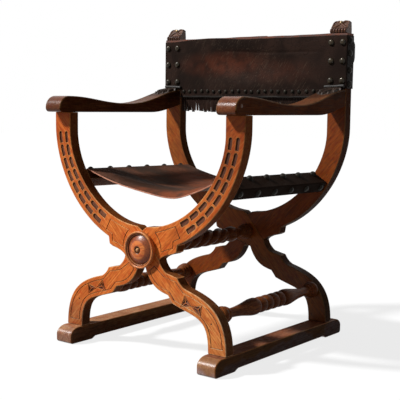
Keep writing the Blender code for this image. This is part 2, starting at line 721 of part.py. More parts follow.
def make_arm(side):
    word = "right" if side > 0 else "left"
    mesh = bmesh.new()
    add_prism(mesh, arm_outline(), "X", *sorted((side * (HALF_SPAN - ARM_WIDTH), side * HALF_SPAN)))
    # The underside starts one clearance above the upright's shoulder
    bmesh.ops.translate(mesh, verts=mesh.verts, vec=(0.0, 0.0, GAP))
    piece = object_from(f"{word}_arm", mesh)
    tenon = bmesh.new()
    add_box(tenon, *post_tenon_box(side, 0.0, TENON_ROOT))
    apply_shape(piece, tenon, "UNION", "tenon")
    cuts = bmesh.new()
    add_box(cuts, *arm_tenon_box(side, GAP, TENON_ROOT))
    add_rod(cuts, PLUG_RADIUS + GAP, -PLUG_DEPTH - GAP, PLUG_DEPTH, STRETCHER_SIDES, plug_frame(side))
    apply_shape(piece, cuts, "DIFFERENCE", "mortises")
    finished(piece, OAK)


def plug_frame(side):
    """Frame on the outer face of an arm, at the middle of its round nose, with its own Z outwards."""
    y = FRONT_FACE - ARM_OVERHANG + ARM_NOSE / 2
    z = ARM_HEIGHT + ARM_NOSE / 2
    return Matrix.Translation((side * HALF_SPAN, y, z)) @ Matrix.Rotation(side * math.pi / 2, 4, "Y")


def make_arm_plug(side):
    word = "right" if side > 0 else "left"
    mesh = bmesh.new()
    profile = [(-PLUG_DEPTH, 0.0), (-PLUG_DEPTH, PLUG_RADIUS), (PLUG_PROUD / 2, PLUG_RADIUS)]
    profile += [(PLUG_PROUD, PLUG_RADIUS * PLUG_CROWN), (PLUG_PROUD, 0.0)]
    add_turning(mesh, profile, STRETCHER_SIDES, plug_frame(side))
    finished(object_from(f"{word}_arm_plug", mesh), DARK_OAK)


def make_runner(side):
    """A sled foot: rounded top ends, and pads with a relieved underside between them."""
    word = "right" if side > 0 else "left"
    half = RUNNER_LENGTH / 2
    length, height = RUNNER_ROUND
    end = []
    for step in range(7):
        turn = math.pi / 2 * step / 6
        end.append((half - length * (1 - math.cos(turn)), RUNNER_HEIGHT - height * (1 - math.sin(turn))))
    pad = half - PAD_LENGTH
    outline = [(pad, 0.0), (half, 0.0)] + end
    outline += [(-y, z) for y, z in reversed(end)]
    relief = pad - PAD_STEP[0]
    outline += [(-half, 0.0), (-pad, 0.0), (-relief, PAD_STEP[1]), (relief, PAD_STEP[1])]
    mesh = bmesh.new()
    add_prism(mesh, outline, "X", *sorted((side * (FOOT_HALF_SPAN - RUNNER_WIDTH), side * FOOT_HALF_SPAN)))
    piece = object_from(f"{word}_runner", mesh)
    cuts = bmesh.new()
    for face in (FRONT_FACE, REAR_FACE):
        add_box(cuts, *foot_tenon_box(side, face, GAP, TENON_ROOT))
    apply_shape(piece, cuts, "DIFFERENCE", "mortises")
    finished(piece, OAK)


def make_side_stretcher(side):
    word = "right" if side > 0 else "left"
    mesh = bmesh.new()
    profile = side_stretcher_profile(STRETCHER_LENGTH)
    profile = stretcher_ends(profile, STRETCHER_LENGTH, ROUND_TENON_RADIUS, ROUND_TENON_LENGTH)
    place = along_y(side * side_stretcher_place(), STRETCHER_MIDDLE, SIDE_STRETCHER_HEIGHT)
    add_turning(mesh, profile, STRETCHER_SIDES, place)
    finished(object_from(f"{word}_side_stretcher", mesh), DARK_OAK)


def make_centre_stretcher():
    mesh = bmesh.new()
    profile = centre_stretcher_profile(STRETCHER_LENGTH)
    profile = stretcher_ends(profile, STRETCHER_LENGTH, CROSS_TENON_RADIUS, CROSS_TENON_LENGTH)
    add_turning(mesh, profile, STRETCHER_SIDES, along_y(0.0, STRETCHER_MIDDLE, CROSS_HEIGHT), twist_lobe)
    piece = object_from("centre_stretcher", mesh)
    bore = bmesh.new()
    add_rod(bore, PIN_RADIUS + GAP, -FRAME_THICKNESS, PIN_DEPTH + 2 * GAP, STRETCHER_SIDES,
            along_y(0.0, FRONT_FACE, CROSS_HEIGHT))
    apply_shape(piece, bore, "DIFFERENCE", "pin_bore")
    finished(piece, DARK_OAK)


def rosette_frame():
    """Frame on the front face of the crossing, with its own Z to the front."""
    return Matrix.Translation((0.0, FRONT_FACE, CROSS_HEIGHT)) @ Matrix.Rotation(math.pi / 2, 4, "X")


def make_rosette():
    mesh = bmesh.new()
    profile = [(GAP, 0.0)] + list(ROSETTE_TURNING) + [(PIN_SEAT, 0.0)]
    add_turning(mesh, profile, ROSETTE_SIDES, rosette_frame())
    piece = object_from("front_rosette", mesh)
    bore = bmesh.new()
    add_rod(bore, PIN_RADIUS + GAP, -FRAME_THICKNESS, FRAME_THICKNESS, STRETCHER_SIDES, rosette_frame())
    apply_shape(piece, bore, "DIFFERENCE", "pin_bore")
    finished(piece, POLISHED_OAK)

    pin = bmesh.new()
    seat = PIN_SEAT + GAP
    profile = [(-PIN_DEPTH, 0.0), (-PIN_DEPTH, PIN_RADIUS), (seat, PIN_RADIUS), (seat, PIN_HEAD_RADIUS)]
    profile += [(seat + PIN_HEAD_HEIGHT * rise, PIN_HEAD_RADIUS * reach) for rise, reach in PIN_CROWN]
    profile += [(seat + PIN_HEAD_HEIGHT, 0.0)]
    add_turning(pin, profile, STRETCHER_SIDES, rosette_frame())
    finished(object_from("rosette_pin", pin), DARK_OAK)


def make_seat_rail(side):
    """A tilted board between the frames, with a tenon at each end."""
    word = "right" if side > 0 else "left"
    mesh = bmesh.new()
    rings = []
    for share in (1, 0):
        section = rail_rectangle(share, side, (0.0, 0.0))
        rings.append([mesh.verts.new((x, RAIL_ENDS[share], z)) for x, z in section])
    near, far = rings
    mesh.faces.new(near)
    mesh.faces.new(far[::-1])
    for index in range(len(near)):
        after = (index + 1) % len(near)
        mesh.faces.new((near[after], near[index], far[index], far[after]))
    bmesh.ops.recalc_face_normals(mesh, faces=mesh.faces)
    piece = object_from(f"{word}_seat_rail", mesh)
    tenons = bmesh.new()
    for share in (1, 0):
        section = rail_rectangle(share, side, RAIL_TENON_MARGINS)
        add_prism(tenons, section, "Y", *rail_tenon_depths(share, TENON_ROOT, 0.0))
    apply_shape(piece, tenons, "UNION", "tenons")
    holes = bmesh.new()
    add_nail_holes(holes, seat_nails(side))
    apply_shape(piece, holes, "DIFFERENCE", "nail_holes")
    finished(piece, DARK_OAK, smooth=False)


def sling_drop(s):
    """Share of the sag across the seat, from -1 at the left rail to 1 at the right rail."""
    return (1 - s * s) * (1 + SEAT_SKEW * s)


def seat_section(share, sag):
    """Base points and normals across the seat leather in X and Z, from the left rail to the right rail."""
    corner = rail_corner(share)
    wrap = []
    for step in range(WRAP_STEPS + 1):
        turn = step / WRAP_STEPS
        wrap.append((corner + OUTWARD * RAIL_WIDTH, (OUTWARD * turn - DOWNWARD * (1 - turn)).normalized()))
    outer_end = corner + OUTWARD * RAIL_WIDTH + DOWNWARD * (RAIL_DEPTH - GAP)
    right = [(corner, -DOWNWARD), (corner + OUTWARD * RAIL_WIDTH / 2, -DOWNWARD)] + wrap
    right += [(outer_end, OUTWARD)]
    left = [(Vector((-p.x, p.y)), Vector((-n.x, n.y))) for p, n in reversed(right)]
    sling = []
    for step in range(SLING_STEPS + 1):
        s = 2 * step / SLING_STEPS - 1
        slope = sag / corner.x * (-2 * s * (1 + SEAT_SKEW * s) + (1 - s * s) * SEAT_SKEW)
        place = Vector((s * corner.x, corner.y - sag * sling_drop(s)))
        sling.append((place, Vector((slope, 1.0)).normalized()))
    ridge_left = [(left[-1][0], (left[-1][1] + sling[0][1]).normalized())]
    ridge_right = [(right[0][0], (right[0][1] + sling[-1][1]).normalized())]
    return left + ridge_left + sling + ridge_right + right


def make_seat_leather():
    """The sling seat: it wraps both rails, sags between them and droops along its front edge."""
    front = FRONT_BACK + SEAT_MARGIN
    back = REAR_FACE - SEAT_MARGIN
    rows = []
    for row in range(SEAT_ROWS):
        run = (row / (SEAT_ROWS - 1)) ** ROW_CROWDING
        y = front + (back - front) * run
        share = (RAIL_ENDS[0] - y) / (RAIL_ENDS[0] - RAIL_ENDS[1])
        lip = max(0.0, 1 - (y - front) / SEAT_LIP) ** 2
        sag = SEAT_SAG_BODY + (SEAT_SAG_FRONT - SEAT_SAG_BODY) * lip
        rows.append((y, seat_section(share, sag)))
    columns = len(rows[0][1])
    face = [[] for _ in range(columns)]
    under = [[] for _ in range(columns)]
    for y, section in rows:
        for column, (place, normal) in enumerate(section):
            high = place + normal * SEAT_SURFACE
            low = place + normal * GAP
            face[column].append((high.x, y, high.y))
            under[column].append((low.x, y, low.y))
    mesh = bmesh.new()
    add_sheet(mesh, face, under)
    piece = object_from("seat_leather", mesh)
    holes = bmesh.new()
    add_nail_holes(holes, seat_nails(-1) + seat_nails(1))
    apply_shape(piece, holes, "DIFFERENCE", "nail_holes")
    finished(piece, SEAT_HIDE)


def back_columns():
    """Plan of the back leather from the middle to the right: base point, normal, lowest and highest place."""
    top = POST_HEIGHT
    low = POST_FOOT
    skirt = low - BACK_SKIRT
    columns = []
    for step in range(BACK_STEPS + 1):
        columns.append((Vector((SKIRT_END * step / BACK_STEPS, REAR_FACE)), Vector((0.0, -1.0)), skirt, top))
    columns.append((Vector((ARM_INNER - GAP, REAR_FACE)), Vector((0.0, -1.0)), low, top))
    corner = Vector((HALF_SPAN, REAR_FACE))
    for step in range(WRAP_STEPS + 1):
        turn = step / WRAP_STEPS
        columns.append((corner, Vector((turn, turn - 1.0)).normalized(), low, top))
    outward = Vector((1.0, 0.0))
    columns.append((Vector((HALF_SPAN, REAR_BACK)), outward, low, top))
    flap_top = top - FLAP_TOP
    flap_low = flap_top - FLAP_HEIGHT
    columns.append((Vector((HALF_SPAN, REAR_BACK + FLAP_NECK)), outward, flap_low, flap_top))
    tip = Vector((HALF_SPAN - FLAP_NECK, REAR_BACK + FLAP_REACH))
    tip_normal = Vector((1.0, FLAP_CURL)).normalized()
    columns.append((tip, tip_normal, flap_low + FLAP_CORNERS[0], flap_top - FLAP_CORNERS[1]))
    return columns


def belly(x, z):
    """How far the back leather bows backwards between the posts."""
    rise = (z - POST_FOOT) / BACK_DROP
    if abs(x) >= FREE_END or rise <= 0.0:
        return 0.0
    return BACK_BELLY * math.cos(math.pi * x / (2 * FREE_END)) ** 2 * math.sin(math.pi * rise) ** 2


def make_back_leather():
    """The back: a hide stretched across both posts and wrapped round their outer faces."""
    right = back_columns()
    left = [(Vector((-p.x, p.y)), Vector((-n.x, n.y)), low, high) for p, n, low, high in right[:0:-1]]
    face = []
    back = []
    for place, normal, low, high in left + right:
        outer_column = []
        inner_column = []
        for row in range(BACK_ROWS + 1):
            z = low + (high - low) * row / BACK_ROWS
            base = Vector((place.x, place.y + belly(place.x, z)))
            outer = base + normal * BACK_SURFACE
            inner = base + normal * GAP
            outer_column.append((outer.x, outer.y, z))
            inner_column.append((inner.x, inner.y, z))
        face.append(outer_column)
        back.append(inner_column)
    mesh = bmesh.new()
    add_sheet(mesh, face, back)
    piece = object_from("back_leather", mesh)
    holes = bmesh.new()
    add_nail_holes(holes, back_nails(-1) + back_nails(1))
    apply_shape(piece, holes, "DIFFERENCE", "nail_holes")
    finished(piece, BACK_HIDE)


def make_band_and_fringe():
    """The strip along the foot of the back leather, and the thongs that hang from behind it."""
    skirt = POST_FOOT - BACK_SKIRT
    face = REAR_FACE - BACK_SURFACE - GAP
    mesh = bmesh.new()
    add_box(mesh, (-FREE_END, face - BAND_THICKNESS, skirt), (FREE_END, face, skirt + BAND_HEIGHT))
    finished(object_from("back_band", mesh), BACK_HIDE, smooth=False)

    count = int(2 * FREE_END / THONG_PITCH)
    start = -count * THONG_PITCH / 2
    outline = [(-start, skirt + FRINGE_STRIP), (start, skirt + FRINGE_STRIP)]
    for thong in range(count):
        left = start + thong * THONG_PITCH + THONG_SLIT / 2
        right = left + THONG_PITCH - THONG_SLIT
        tip = skirt - THONG_LENGTH * (1 - THONG_RAGGED + THONG_RAGGED * math.sin(THONG_WAVE * thong))
        outline += [(left, skirt), (left, tip), (right, tip), (right, skirt)]
    fringe = bmesh.new()
    add_prism(fringe, outline, "Y", REAR_FACE, REAR_FACE + FRINGE_THICKNESS)
    finished(object_from("back_fringe", fringe), BACK_HIDE, smooth=False)


def make_nails():
    """Domed nails, each with its own object on one shared mesh."""
    mesh = bmesh.new()
    profile = [
        (-NAIL_SHANK_LENGTH, 0.0),
        (-NAIL_SHANK_LENGTH, NAIL_SHANK_RADIUS),
        (0.0, NAIL_SHANK_RADIUS),
        (0.0, NAIL_RADIUS),
        (NAIL_HEIGHT * NAIL_SHOULDER[0], NAIL_RADIUS * NAIL_SHOULDER[1]),
        (NAIL_HEIGHT, 0.0),
    ]
    add_turning(mesh, profile, NAIL_SIDES, Matrix.Identity(4))
    pattern = None
    for name, place, normal in nail_places(-1) + nail_places(1):
        if pattern is None:
            nail = finished(object_from(name, mesh), BRASS)
            pattern = nail.data
        else:
            nail = bpy.data.objects.new(name, pattern)
            bpy.context.scene.collection.objects.link(nail)
            nail.parent = bpy.data.objects["throne_chair"]
        nail.matrix_local = nail_frame(place, normal, GAP)


def main():
    for old in list(bpy.data.objects):
        bpy.data.objects.remove(old, do_unlink=True)
    chair = bpy.data.objects.new("throne_chair", None)
    bpy.context.scene.collection.objects.link(chair)
    front_top = ARM_HEIGHT
    for side in (-1, 1):
        make_cross_leg("front", side, FRONT_FACE, front_top, foreground=side < 0)
        make_cross_leg("rear", side, REAR_FACE, POST_HEIGHT, foreground=side < 0)
        make_arm(side)
        make_arm_plug(side)
        make_runner(side)
        make_side_stretcher(side)
        make_seat_rail(side)
    make_centre_stretcher()
    make_rosette()
    make_seat_leather()
    make_back_leather()
    make_band_and_fringe()
    make_nails()


main()
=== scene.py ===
import math
import random

import bmesh
import bpy
from mathutils import Matrix, Vector, noise
from mathutils.geometry import interpolate_bezier


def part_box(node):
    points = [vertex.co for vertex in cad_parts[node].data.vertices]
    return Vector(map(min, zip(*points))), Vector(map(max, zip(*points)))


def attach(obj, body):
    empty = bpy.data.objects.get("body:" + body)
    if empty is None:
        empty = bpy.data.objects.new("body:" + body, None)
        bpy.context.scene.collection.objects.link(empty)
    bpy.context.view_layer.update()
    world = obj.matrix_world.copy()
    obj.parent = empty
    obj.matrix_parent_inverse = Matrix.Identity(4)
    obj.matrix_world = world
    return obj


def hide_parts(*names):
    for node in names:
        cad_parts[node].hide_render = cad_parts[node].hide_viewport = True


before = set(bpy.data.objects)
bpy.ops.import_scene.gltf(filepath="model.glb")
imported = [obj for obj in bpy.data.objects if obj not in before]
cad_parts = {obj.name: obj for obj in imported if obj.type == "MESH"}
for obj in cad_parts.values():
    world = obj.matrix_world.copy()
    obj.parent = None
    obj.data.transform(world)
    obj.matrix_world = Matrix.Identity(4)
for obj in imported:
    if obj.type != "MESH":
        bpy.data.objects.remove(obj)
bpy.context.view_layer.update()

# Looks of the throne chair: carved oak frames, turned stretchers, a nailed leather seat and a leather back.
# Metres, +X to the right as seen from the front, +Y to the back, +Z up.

CHANCE = random.Random(11)
SIDES = {-1: "left", 1: "right"}

# Places taken from the frame
GAP = 0.0003
FRONT_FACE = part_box("front_cross_leg_right")[0].y
HALF_SPAN, FRONT_BACK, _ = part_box("front_cross_leg_right")[1]
FRAME_THICKNESS = FRONT_BACK - FRONT_FACE
REAR_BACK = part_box("rear_cross_leg_right")[1].y
REAR_FACE = REAR_BACK - FRAME_THICKNESS
ARM_INNER, ARM_FRONT, ARM_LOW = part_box("right_arm")[0]
ARM_HEIGHT = ARM_LOW - GAP
RUNNER_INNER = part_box("right_runner")[0].x
FOOT_HALF_SPAN, RUNNER_BACK, RUNNER_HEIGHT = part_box("right_runner")[1]
CROSS_HEIGHT = (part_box("front_rosette")[0].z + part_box("front_rosette")[1].z) / 2
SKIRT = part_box("back_leather")[0].z
POST_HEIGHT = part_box("back_leather")[1].z
STRETCHER_X, _, STRETCHER_Z = sum(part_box("right_side_stretcher"), Vector()) / 2


def at_crossing(out, up):
    """A place on the +X side, measured outwards and upwards from the centre of the crossing."""
    return out, CROSS_HEIGHT + up


# Cross frame members
UPRIGHT_WIDTH = 0.060
LEG_WIDTH = 0.059
INNER_SPAN = HALF_SPAN - UPRIGHT_WIDTH
OUTER_BEND = (HALF_SPAN, ARM_HEIGHT - 0.037)
INNER_BEND = (INNER_SPAN, ARM_HEIGHT - 0.050)
LIMB_STEP_NOSE = at_crossing(0.1246, 0.0242)
LIMB_STEP_FOOT = at_crossing(0.121, 0.004)
LIMB_STEP_HEEL = at_crossing(0.109, -0.002)
SIDE_VALLEY = at_crossing(0.062, -0.0225)
LEG_SHELF_HEEL = at_crossing(0.086, -0.055)
LEG_SHELF_NOSE = at_crossing(0.125, -0.0635)
LEG_STEP_FOOT = at_crossing(0.152, -0.0905)
NOTCH_FLOOR = at_crossing(0.0, 0.052)
NOTCH_MOUTH = at_crossing(0.0165, 0.0625)
CROTCH = at_crossing(0.012, -0.047)
INNER_STEP_NOSE = at_crossing(0.093, -0.114)
INNER_STEP_FOOT = at_crossing(0.109, -0.134)
LIMB_OUTER_PULL = (0.141, 0.061)  # handles of the curves, from their ends
LIMB_INNER_PULL = (0.145, 0.004)
LEG_OUTER_PULL = (0.084, -0.021)
LEG_INNER_PULL = (0.080, -0.030)
CROTCH_PULL = (0.022, -0.057)
INNER_STEP_PULL = (-0.023, 0.006)
UPPER_HOLLOW_PULLS = ((-0.017, -0.003), (0.008, 0.0105))  # above the valley, under it, and under the shelf
LOWER_HOLLOW_PULLS = ((0.0015, -0.013), (-0.009, 0.006))
SCOOP_PULLS = ((0.004, -0.011), (-0.011, 0.0045))
OUTER_BEND_PULL = 0.35  # upright handles, as shares of the height of their curves
INNER_BEND_PULL = 0.45
LEG_OUTER_FOOT_PULL = 0.66
LEG_INNER_FOOT_PULL = 0.86
CURVE_STEPS = 30
CROTCH_STEPS = 16
HOLLOW_STEPS = 12
MITRE_LIMIT = 0.5
EDGE_EASE = 0.0022
FACE_LEAN = 0.7  # what faces along the thickness of a board this much is its face

# Carving on the front frame
SLOT_COUNT = 8
SLOT_TOP = 0.607  # height where both rows of slots start
SLOT_ROWS = ((-0.016, 0.134), (0.0195, 0.146))  # distance from the inner and outer edge, X of the row's end
SLOT_HALF_WIDTH = (0.0056, 0.0070)  # in the first slot of a row and in the last
SLOT_GAP = 0.0060
SLOT_DEPTH = 0.0034
SLOT_RIM = (0.0013, 0.0006)  # width and depth of the rubbed rim, lighter for wear and partly a painted highlight
SLOT_CROWN = 0.0010  # the rim is this much wider at the round end
SLOT_ABOVE = 0.0002
SLOT_TAPER = 0.0006
SLOT_END_STEPS = 8
GROOVE_HALF_WIDTH = 0.0012
GROOVE_DEPTH = 0.0018
LIT_WALL_WAY = Vector((-0.63, 0.78))  # walls of grooves that face this way in X and Z, towards the light, take the light rubbed finish: a painted highlight
LIT_WALL_LEAN = 0.35
PANEL_MARGIN = 0.069  # carved lines keep this far from the middle of the rosette
LEG_MARGIN = 0.061
MARGIN_STEPS = 9
PANEL_TOP = (at_crossing(0.117, 0.073), at_crossing(0.084, 0.0605))
PANEL_INNER = at_crossing(0.050, 0.0515)
PANEL_FOOT = (
    at_crossing(0.090, 0.0085), at_crossing(0.1085, 0.013), at_crossing(0.110, 0.0325),
    at_crossing(0.133, 0.043),
)
LEG_GROOVE_INSET = 0.0115
LEG_GROOVE_FOOT = 0.064
CHIPS = (
    ((0.2043, 0.1742), (0.2006, 0.1473), (0.1703, 0.1670)),
    ((0.1477, 0.1922), (0.1345, 0.1615), (0.1682, 0.1680)),
)
CHIP_SHIFT = {-1: (0.0, 0.0), 1: (0.004, -0.005)}  # the right leg has its chips a little lower
CHIP_DEPTH = 0.0044
CHIP_ABOVE = CHIP_DEPTH / 12
CHIP_SHARE = 0.86  # size of the sunk chip inside its incised outline
FACET_SHARE = 0.84  # size of each of its three facets, which leaves ridges between them
PECK = (0.240, 0.126)  # a small round peck on each leg
PECK_RINGS = ((-0.001, 0.00286), (0.0008, 0.0022), (0.0022, 0.0011))  # depth and radius
PECK_STEPS = 10

# Arms
ARM_NOSE = 0.046
ARM_WAIST = (FRONT_FACE + 0.245, ARM_LOW + 0.027)
ARM_LIFT = (FRONT_FACE + 0.352, ARM_LOW)
ARM_HEEL_LOW = (REAR_FACE - GAP, ARM_LOW + 0.0245)
ARM_HEEL_HIGH = (REAR_FACE - GAP, ARM_LOW + 0.073)
ARM_NOSE_PULL = 0.40
ARM_WAIST_PULL = 0.45
ARM_HEEL_PULL = 0.35
ARM_HEEL_SLOPE = (0.006, 0.010)  # of the top and of the underside
ARM_UNDER_STEPS = 14
NOSE_BELOW = 0.012  # radius of the tight round under the nose
NOSE_LENGTH = 0.036  # length of the long round above it
NOSE_BELOW_STEPS = 6
NOSE_ABOVE_STEPS = 12
ARM_EASE = 0.0035
ARM_TOP_LEAN = 0.6  # what faces upwards this much, behind the nose, is the dull top
PLUG_TURNING = (  # depth behind the side of the arm and radius
    (0.012, 0.0), (0.012, 0.005), (-0.0002, 0.005), (-0.0007, 0.0045), (-0.0010, 0.0030), (-0.0012, 0.0015),
    (-0.0012, 0.0),
)
LEAF_COLUMNS = 52
LEAF_ROWS = 64
LEAF_LENGTH = 0.086
LEAF_RISE = 0.0085
LEAF_SUNK = 0.0008  # the front of the leaf starts this far under the top of the arm
LEAF_BACK = REAR_FACE - 0.001
LEAF_THICKNESS = 0.002
LEAF_GROUND = (0.0014, 0.004, 0.018)  # rise of its stained ground, length of the rise, roundness of its front
LEAF_LOBES = (  # direction from straight ahead, length and half width
    (0.0, 0.069, 0.0112), (math.radians(24), 0.060, 0.0106), (math.radians(-24), 0.060, 0.0106),
    (math.radians(50), 0.036, 0.0095), (math.radians(-50), 0.036, 0.0095),
)
LOBE_START = 0.12  # the width of a lobe starts at this share of its swell
LOBE_FULLNESS = 0.6
LEAF_VEIN = (0.0022, 0.0016)  # depth and half width
LEAF_BEADS = ((0.0, 0.077), (-0.015, 0.070), (0.015, 0.070))  # X from the arm's middle, distance to the post
LEAF_BEAD = 0.0050
LEAF_BEAD_RISE = 0.85 * LEAF_RISE

# Runners
RUNNER_ROUND = (0.034, 0.024)  # length and height of the round on top of each end
RUNNER_ROUND_STEPS = 14
RUNNER_EASE = 0.0026
RUNNER_UNDER = 0.009  # radius of the round under each end
RUNNER_UNDER_STEPS = 6
RUNNER_REACH = 0.004  # each end reaches this far beyond the rough board
RUNNER_TOP_LEAN = 0.99
PAD_LENGTH = 0.082
PAD_STEP = (0.015, 0.007)  # length and height of the step beside a pad

# Turned pieces
TURNING_STEPS = 40
SMALL_STEPS = 20  # of plugs, nails and rolled hems
BOSS_TURNING = (  # distance from the end of a stretcher and radius
    (0.000, 0.0205), (0.0015, 0.0222), (0.006, 0.0241), (0.010, 0.0245), (0.015, 0.0240), (0.019, 0.0218),
    (0.020, 0.0192), (0.021, 0.0190), (0.0218, 0.0210), (0.0238, 0.0221), (0.0265, 0.0215), (0.0286, 0.0192),
    (0.029, 0.0168), (0.0298, 0.0166), (0.0304, 0.0182), (0.0325, 0.0190), (0.0350, 0.0180), (0.0358, 0.0158),
    (0.0375, 0.0138), (0.040, 0.0127), (0.044, 0.0125),
)
SIDE_VASE = (  # share of the way from the middle part to the boss, and radius
    (0.025, 0.0205), (0.05, 0.0221), (0.10, 0.0234), (0.17, 0.0237), (0.27, 0.0228), (0.42, 0.0197),
    (0.58, 0.0164), (0.72, 0.0143), (0.86, 0.0130),
)
CENTRE_VASE = (
    (0.02, 0.0175), (0.05, 0.0158), (0.09, 0.0160), (0.14, 0.0182), (0.22, 0.0212), (0.33, 0.0230),
    (0.45, 0.0235), (0.58, 0.0212), (0.70, 0.0172), (0.82, 0.0142), (0.92, 0.0129),
)
BEAD_RADIUS = 0.0222
BEAD_GROOVE = 0.0042
BEAD_FULLNESS = 0.45
BEAD_COUNT = 4
BEAD_PITCH = 0.030
BEAD_STEPS = 10
TWIST_HALF_LENGTH = 0.112
TWIST_RADIUS = 0.0192
TWIST_DEPTH = 0.0038
TWIST_STRANDS = 3
TWIST_TURNS = 1.7
TWIST_RINGS = 90
TWIST_STEPS = 54
TWIST_FADE = 9
TWIST_LOBE = (2.0, 0.7, -0.8)  # height of a strand in twist depths, its fullness, and the groove beside it
SIDE_TENON = (0.010, 0.018)  # radius and length
CROSS_TENON = (0.011, 0.0325)
STRETCHER_LENGTH = REAR_FACE - FRONT_BACK - 2 * GAP
STRETCHER_MIDDLE = (FRONT_BACK + REAR_FACE) / 2
# Distance in front of the frame and radius, from the back edge over rim, groove and dome to the middle
ROSETTE_TURNING = (
    (GAP, 0.0), (GAP, 0.0485), (0.0015, 0.0494), (0.0075, 0.0504), (0.0118, 0.0511), (0.0138, 0.0508),
    (0.0150, 0.0498), (0.0154, 0.0484), (0.0150, 0.0468), (0.0137, 0.0456), (0.0118, 0.0448),
    (0.0108, 0.0441), (0.0113, 0.0433), (0.0115, 0.0424), (0.0109, 0.0415), (0.0092, 0.0408),
    (0.0080, 0.0402), (0.0081, 0.0394), (0.0094, 0.0378), (0.0120, 0.0342), (0.0143, 0.0303),
    (0.0162, 0.0260), (0.0176, 0.0218), (0.0185, 0.0180), (0.0190, 0.0150), (0.0190, 0.0124),
    (0.0183, 0.0104), (0.0172, 0.0092), (0.0150, 0.0085), (0.0113, 0.0082), (0.0111, 0.0),
)
ROSETTE_STEPS = 72
ROSETTE_RADIUS = 0.050
PIN_TURNING = (
    (-0.016, 0.0), (-0.016, 0.0045), (0.0113, 0.0045), (0.0115, 0.0058), (0.0167, 0.0058), (0.0191, 0.0050),
    (0.0205, 0.0034), (0.0211, 0.0016), (0.0212, 0.0),
)
PIN_STEPS = 24

# Seat
SEAT_HEIGHT = 0.489
RAIL_WIDTH = 0.048
RAIL_DEPTH = 0.029
RAIL_TILT = math.radians(32)
RAIL_RISE = 0.008
RAIL_INSET = 0.001
RAIL_EASE = 0.0025
OUTWARD = Vector((math.cos(RAIL_TILT), -math.sin(RAIL_TILT)))
DOWNWARD = Vector((-math.sin(RAIL_TILT), -math.cos(RAIL_TILT)))
RAIL_ENDS = {1: FRONT_BACK + GAP, 0: REAR_FACE - GAP}  # share along the rail and the Y of that end
SEAT_LEATHER = 0.004
SEAT_SURFACE = GAP + SEAT_LEATHER
SEAT_CUT = 0.0002  # the leather is this much thinner than its place
SEAT_EASE = 0.0007
SEAT_MARGIN = 0.003
SEAT_EDGE_DEPTH = RAIL_DEPTH - 0.001
SLING_STEPS = 72
# Steps round the inner corner of a rail, over its top, round its outer corner and down its side
SEAT_INNER_STEPS = 4
SEAT_TOP_STEPS = 6
SEAT_OUTER_STEPS = 6
SEAT_EDGE_STEPS = 5
SEAT_ROWS = 64
SEAT_ROW_POWER = 1.25  # rows are closer together at the front
# Share of the seat's depth from its front edge, and the sag there: a drooping lip, a crest and the pan behind
SEAT_SAG = (
    (0.0, 0.061), (0.055, 0.0515), (0.10, 0.0435), (0.15, 0.0460), (0.24, 0.0505), (0.45, 0.0535),
    (0.8, 0.0470), (1.0, 0.0440),
)
LOW_PLACE = (0.33, 0.06)  # lowest place across the seat, front and back, as a share of the half width
LOW_BLEND = 0.4  # share of the depth over which the front form changes into the back one
SLING_POWER = (1.85, 1.45)  # fullness of the sag left and right of its lowest place
SLING_POWER_GAIN = (0.15, 0.45)
SEAT_RIPPLES = ((9, 0.0, 0.0022), (30, 3.0, 0.0007))  # waves in a metre, a seed and the height
SEAT_EDGE_RIPPLE = (14, 3, 7.0, 0.0016)  # waves in X and Y, a seed and the height

# Back
BACK_SURFACE = 0.0033  # outside of the back leather in front of the posts
LAYER = 0.0014  # face leather and lining
LAYER_CUT = 0.0001  # a layer is this much thinner than its place
POST_FOOT = 0.738
SKIRT_END = ARM_INNER - 0.004
FREE_END = SKIRT_END - GAP
FACE_TOP = POST_HEIGHT - 0.0030
LINING_TOP = POST_HEIGHT + 0.0030
FACE_LIFT = (0.0062, -0.16, 0.10)  # the face's top edge stands higher here: rise, X and half width
LINING_STEP = (0.0014, 0.0655)  # the lining's top edge drops by this at this X
BACK_BELLY = 0.008
BACK_ROWS = 64
BACK_STEPS = 70
POST_STEPS = 13
POST_SIDE_STEPS = 6
WRAP_STEPS = 5
BACK_RIPPLE = (14, 20, 1.0, 0.0009)  # waves in X and Z, a seed and the height
POST_RIPPLE = 0.3  # share of the ripple in front of the posts
POST_CALM = 0.004  # none of it this close to the outer corner
TOP_RIPPLE = (16, 5.0, 0.0012)  # waves, a seed and the height
TOP_RIPPLE_POWER = 6
FLAP_TOP = POST_HEIGHT - 0.020
FLAP_LOW = FLAP_TOP - 0.060
FLAP_REACH = 0.010
FLAP_LIP = 0.001
FLAP_STEPS = 4
FLAP_CORNERS = (0.015, 0.010)  # how far the tip is rounded off below and above
CREASE = ((-0.16, 0.8555), (0.27, 0.8430))  # a crease across the face leather, from X and Z to X and Z
CREASE_WIDTH = 0.0035
CREASE_DEPTH = 0.0012
CREASE_SWAY = (0.0015, 9)  # height of its waves and their turn in radians
CREASE_FADE = 5
ROLL_RADIUS = 0.0048
ROLL_START = SKIRT_END - 0.0015
ROLL_LENGTH = HALF_SPAN - 0.002 - ROLL_START
ROLL_END = (0.0012, 0.0022)  # length and radius of its rounded ends
ROLL_STEPS = 12
ROLL_SWELL = (0.0005, 7)  # height of its waves and their turn in radians
ROLL_PLACE = (REAR_FACE - BACK_SURFACE - 0.0030, POST_FOOT + 0.0050)
ROLL_TILT = 0.04
BAND_HEIGHT = 0.0245
BAND_THICKNESS = 0.0025
BAND_FACE = REAR_FACE - BACK_SURFACE - GAP - BAND_THICKNESS
BAND_COLUMNS = 120
BAND_ROWS = 20
BAND_EASE = 0.0005
BAND_CUT = 0.0002
BAND_ROLL = (0.0015, 0.0022)  # rise and half height of the rolled lower edge
BAND_ROLL_REACH = 2.5 * BAND_ROLL[1]
BAND_WEAR = (0.6, 18, 9.0)  # share of the roll, and the waves in a metre and the seed of its change
BAND_DIP = (0.0006, 0.006)  # depth and half height of the dips at the tacks
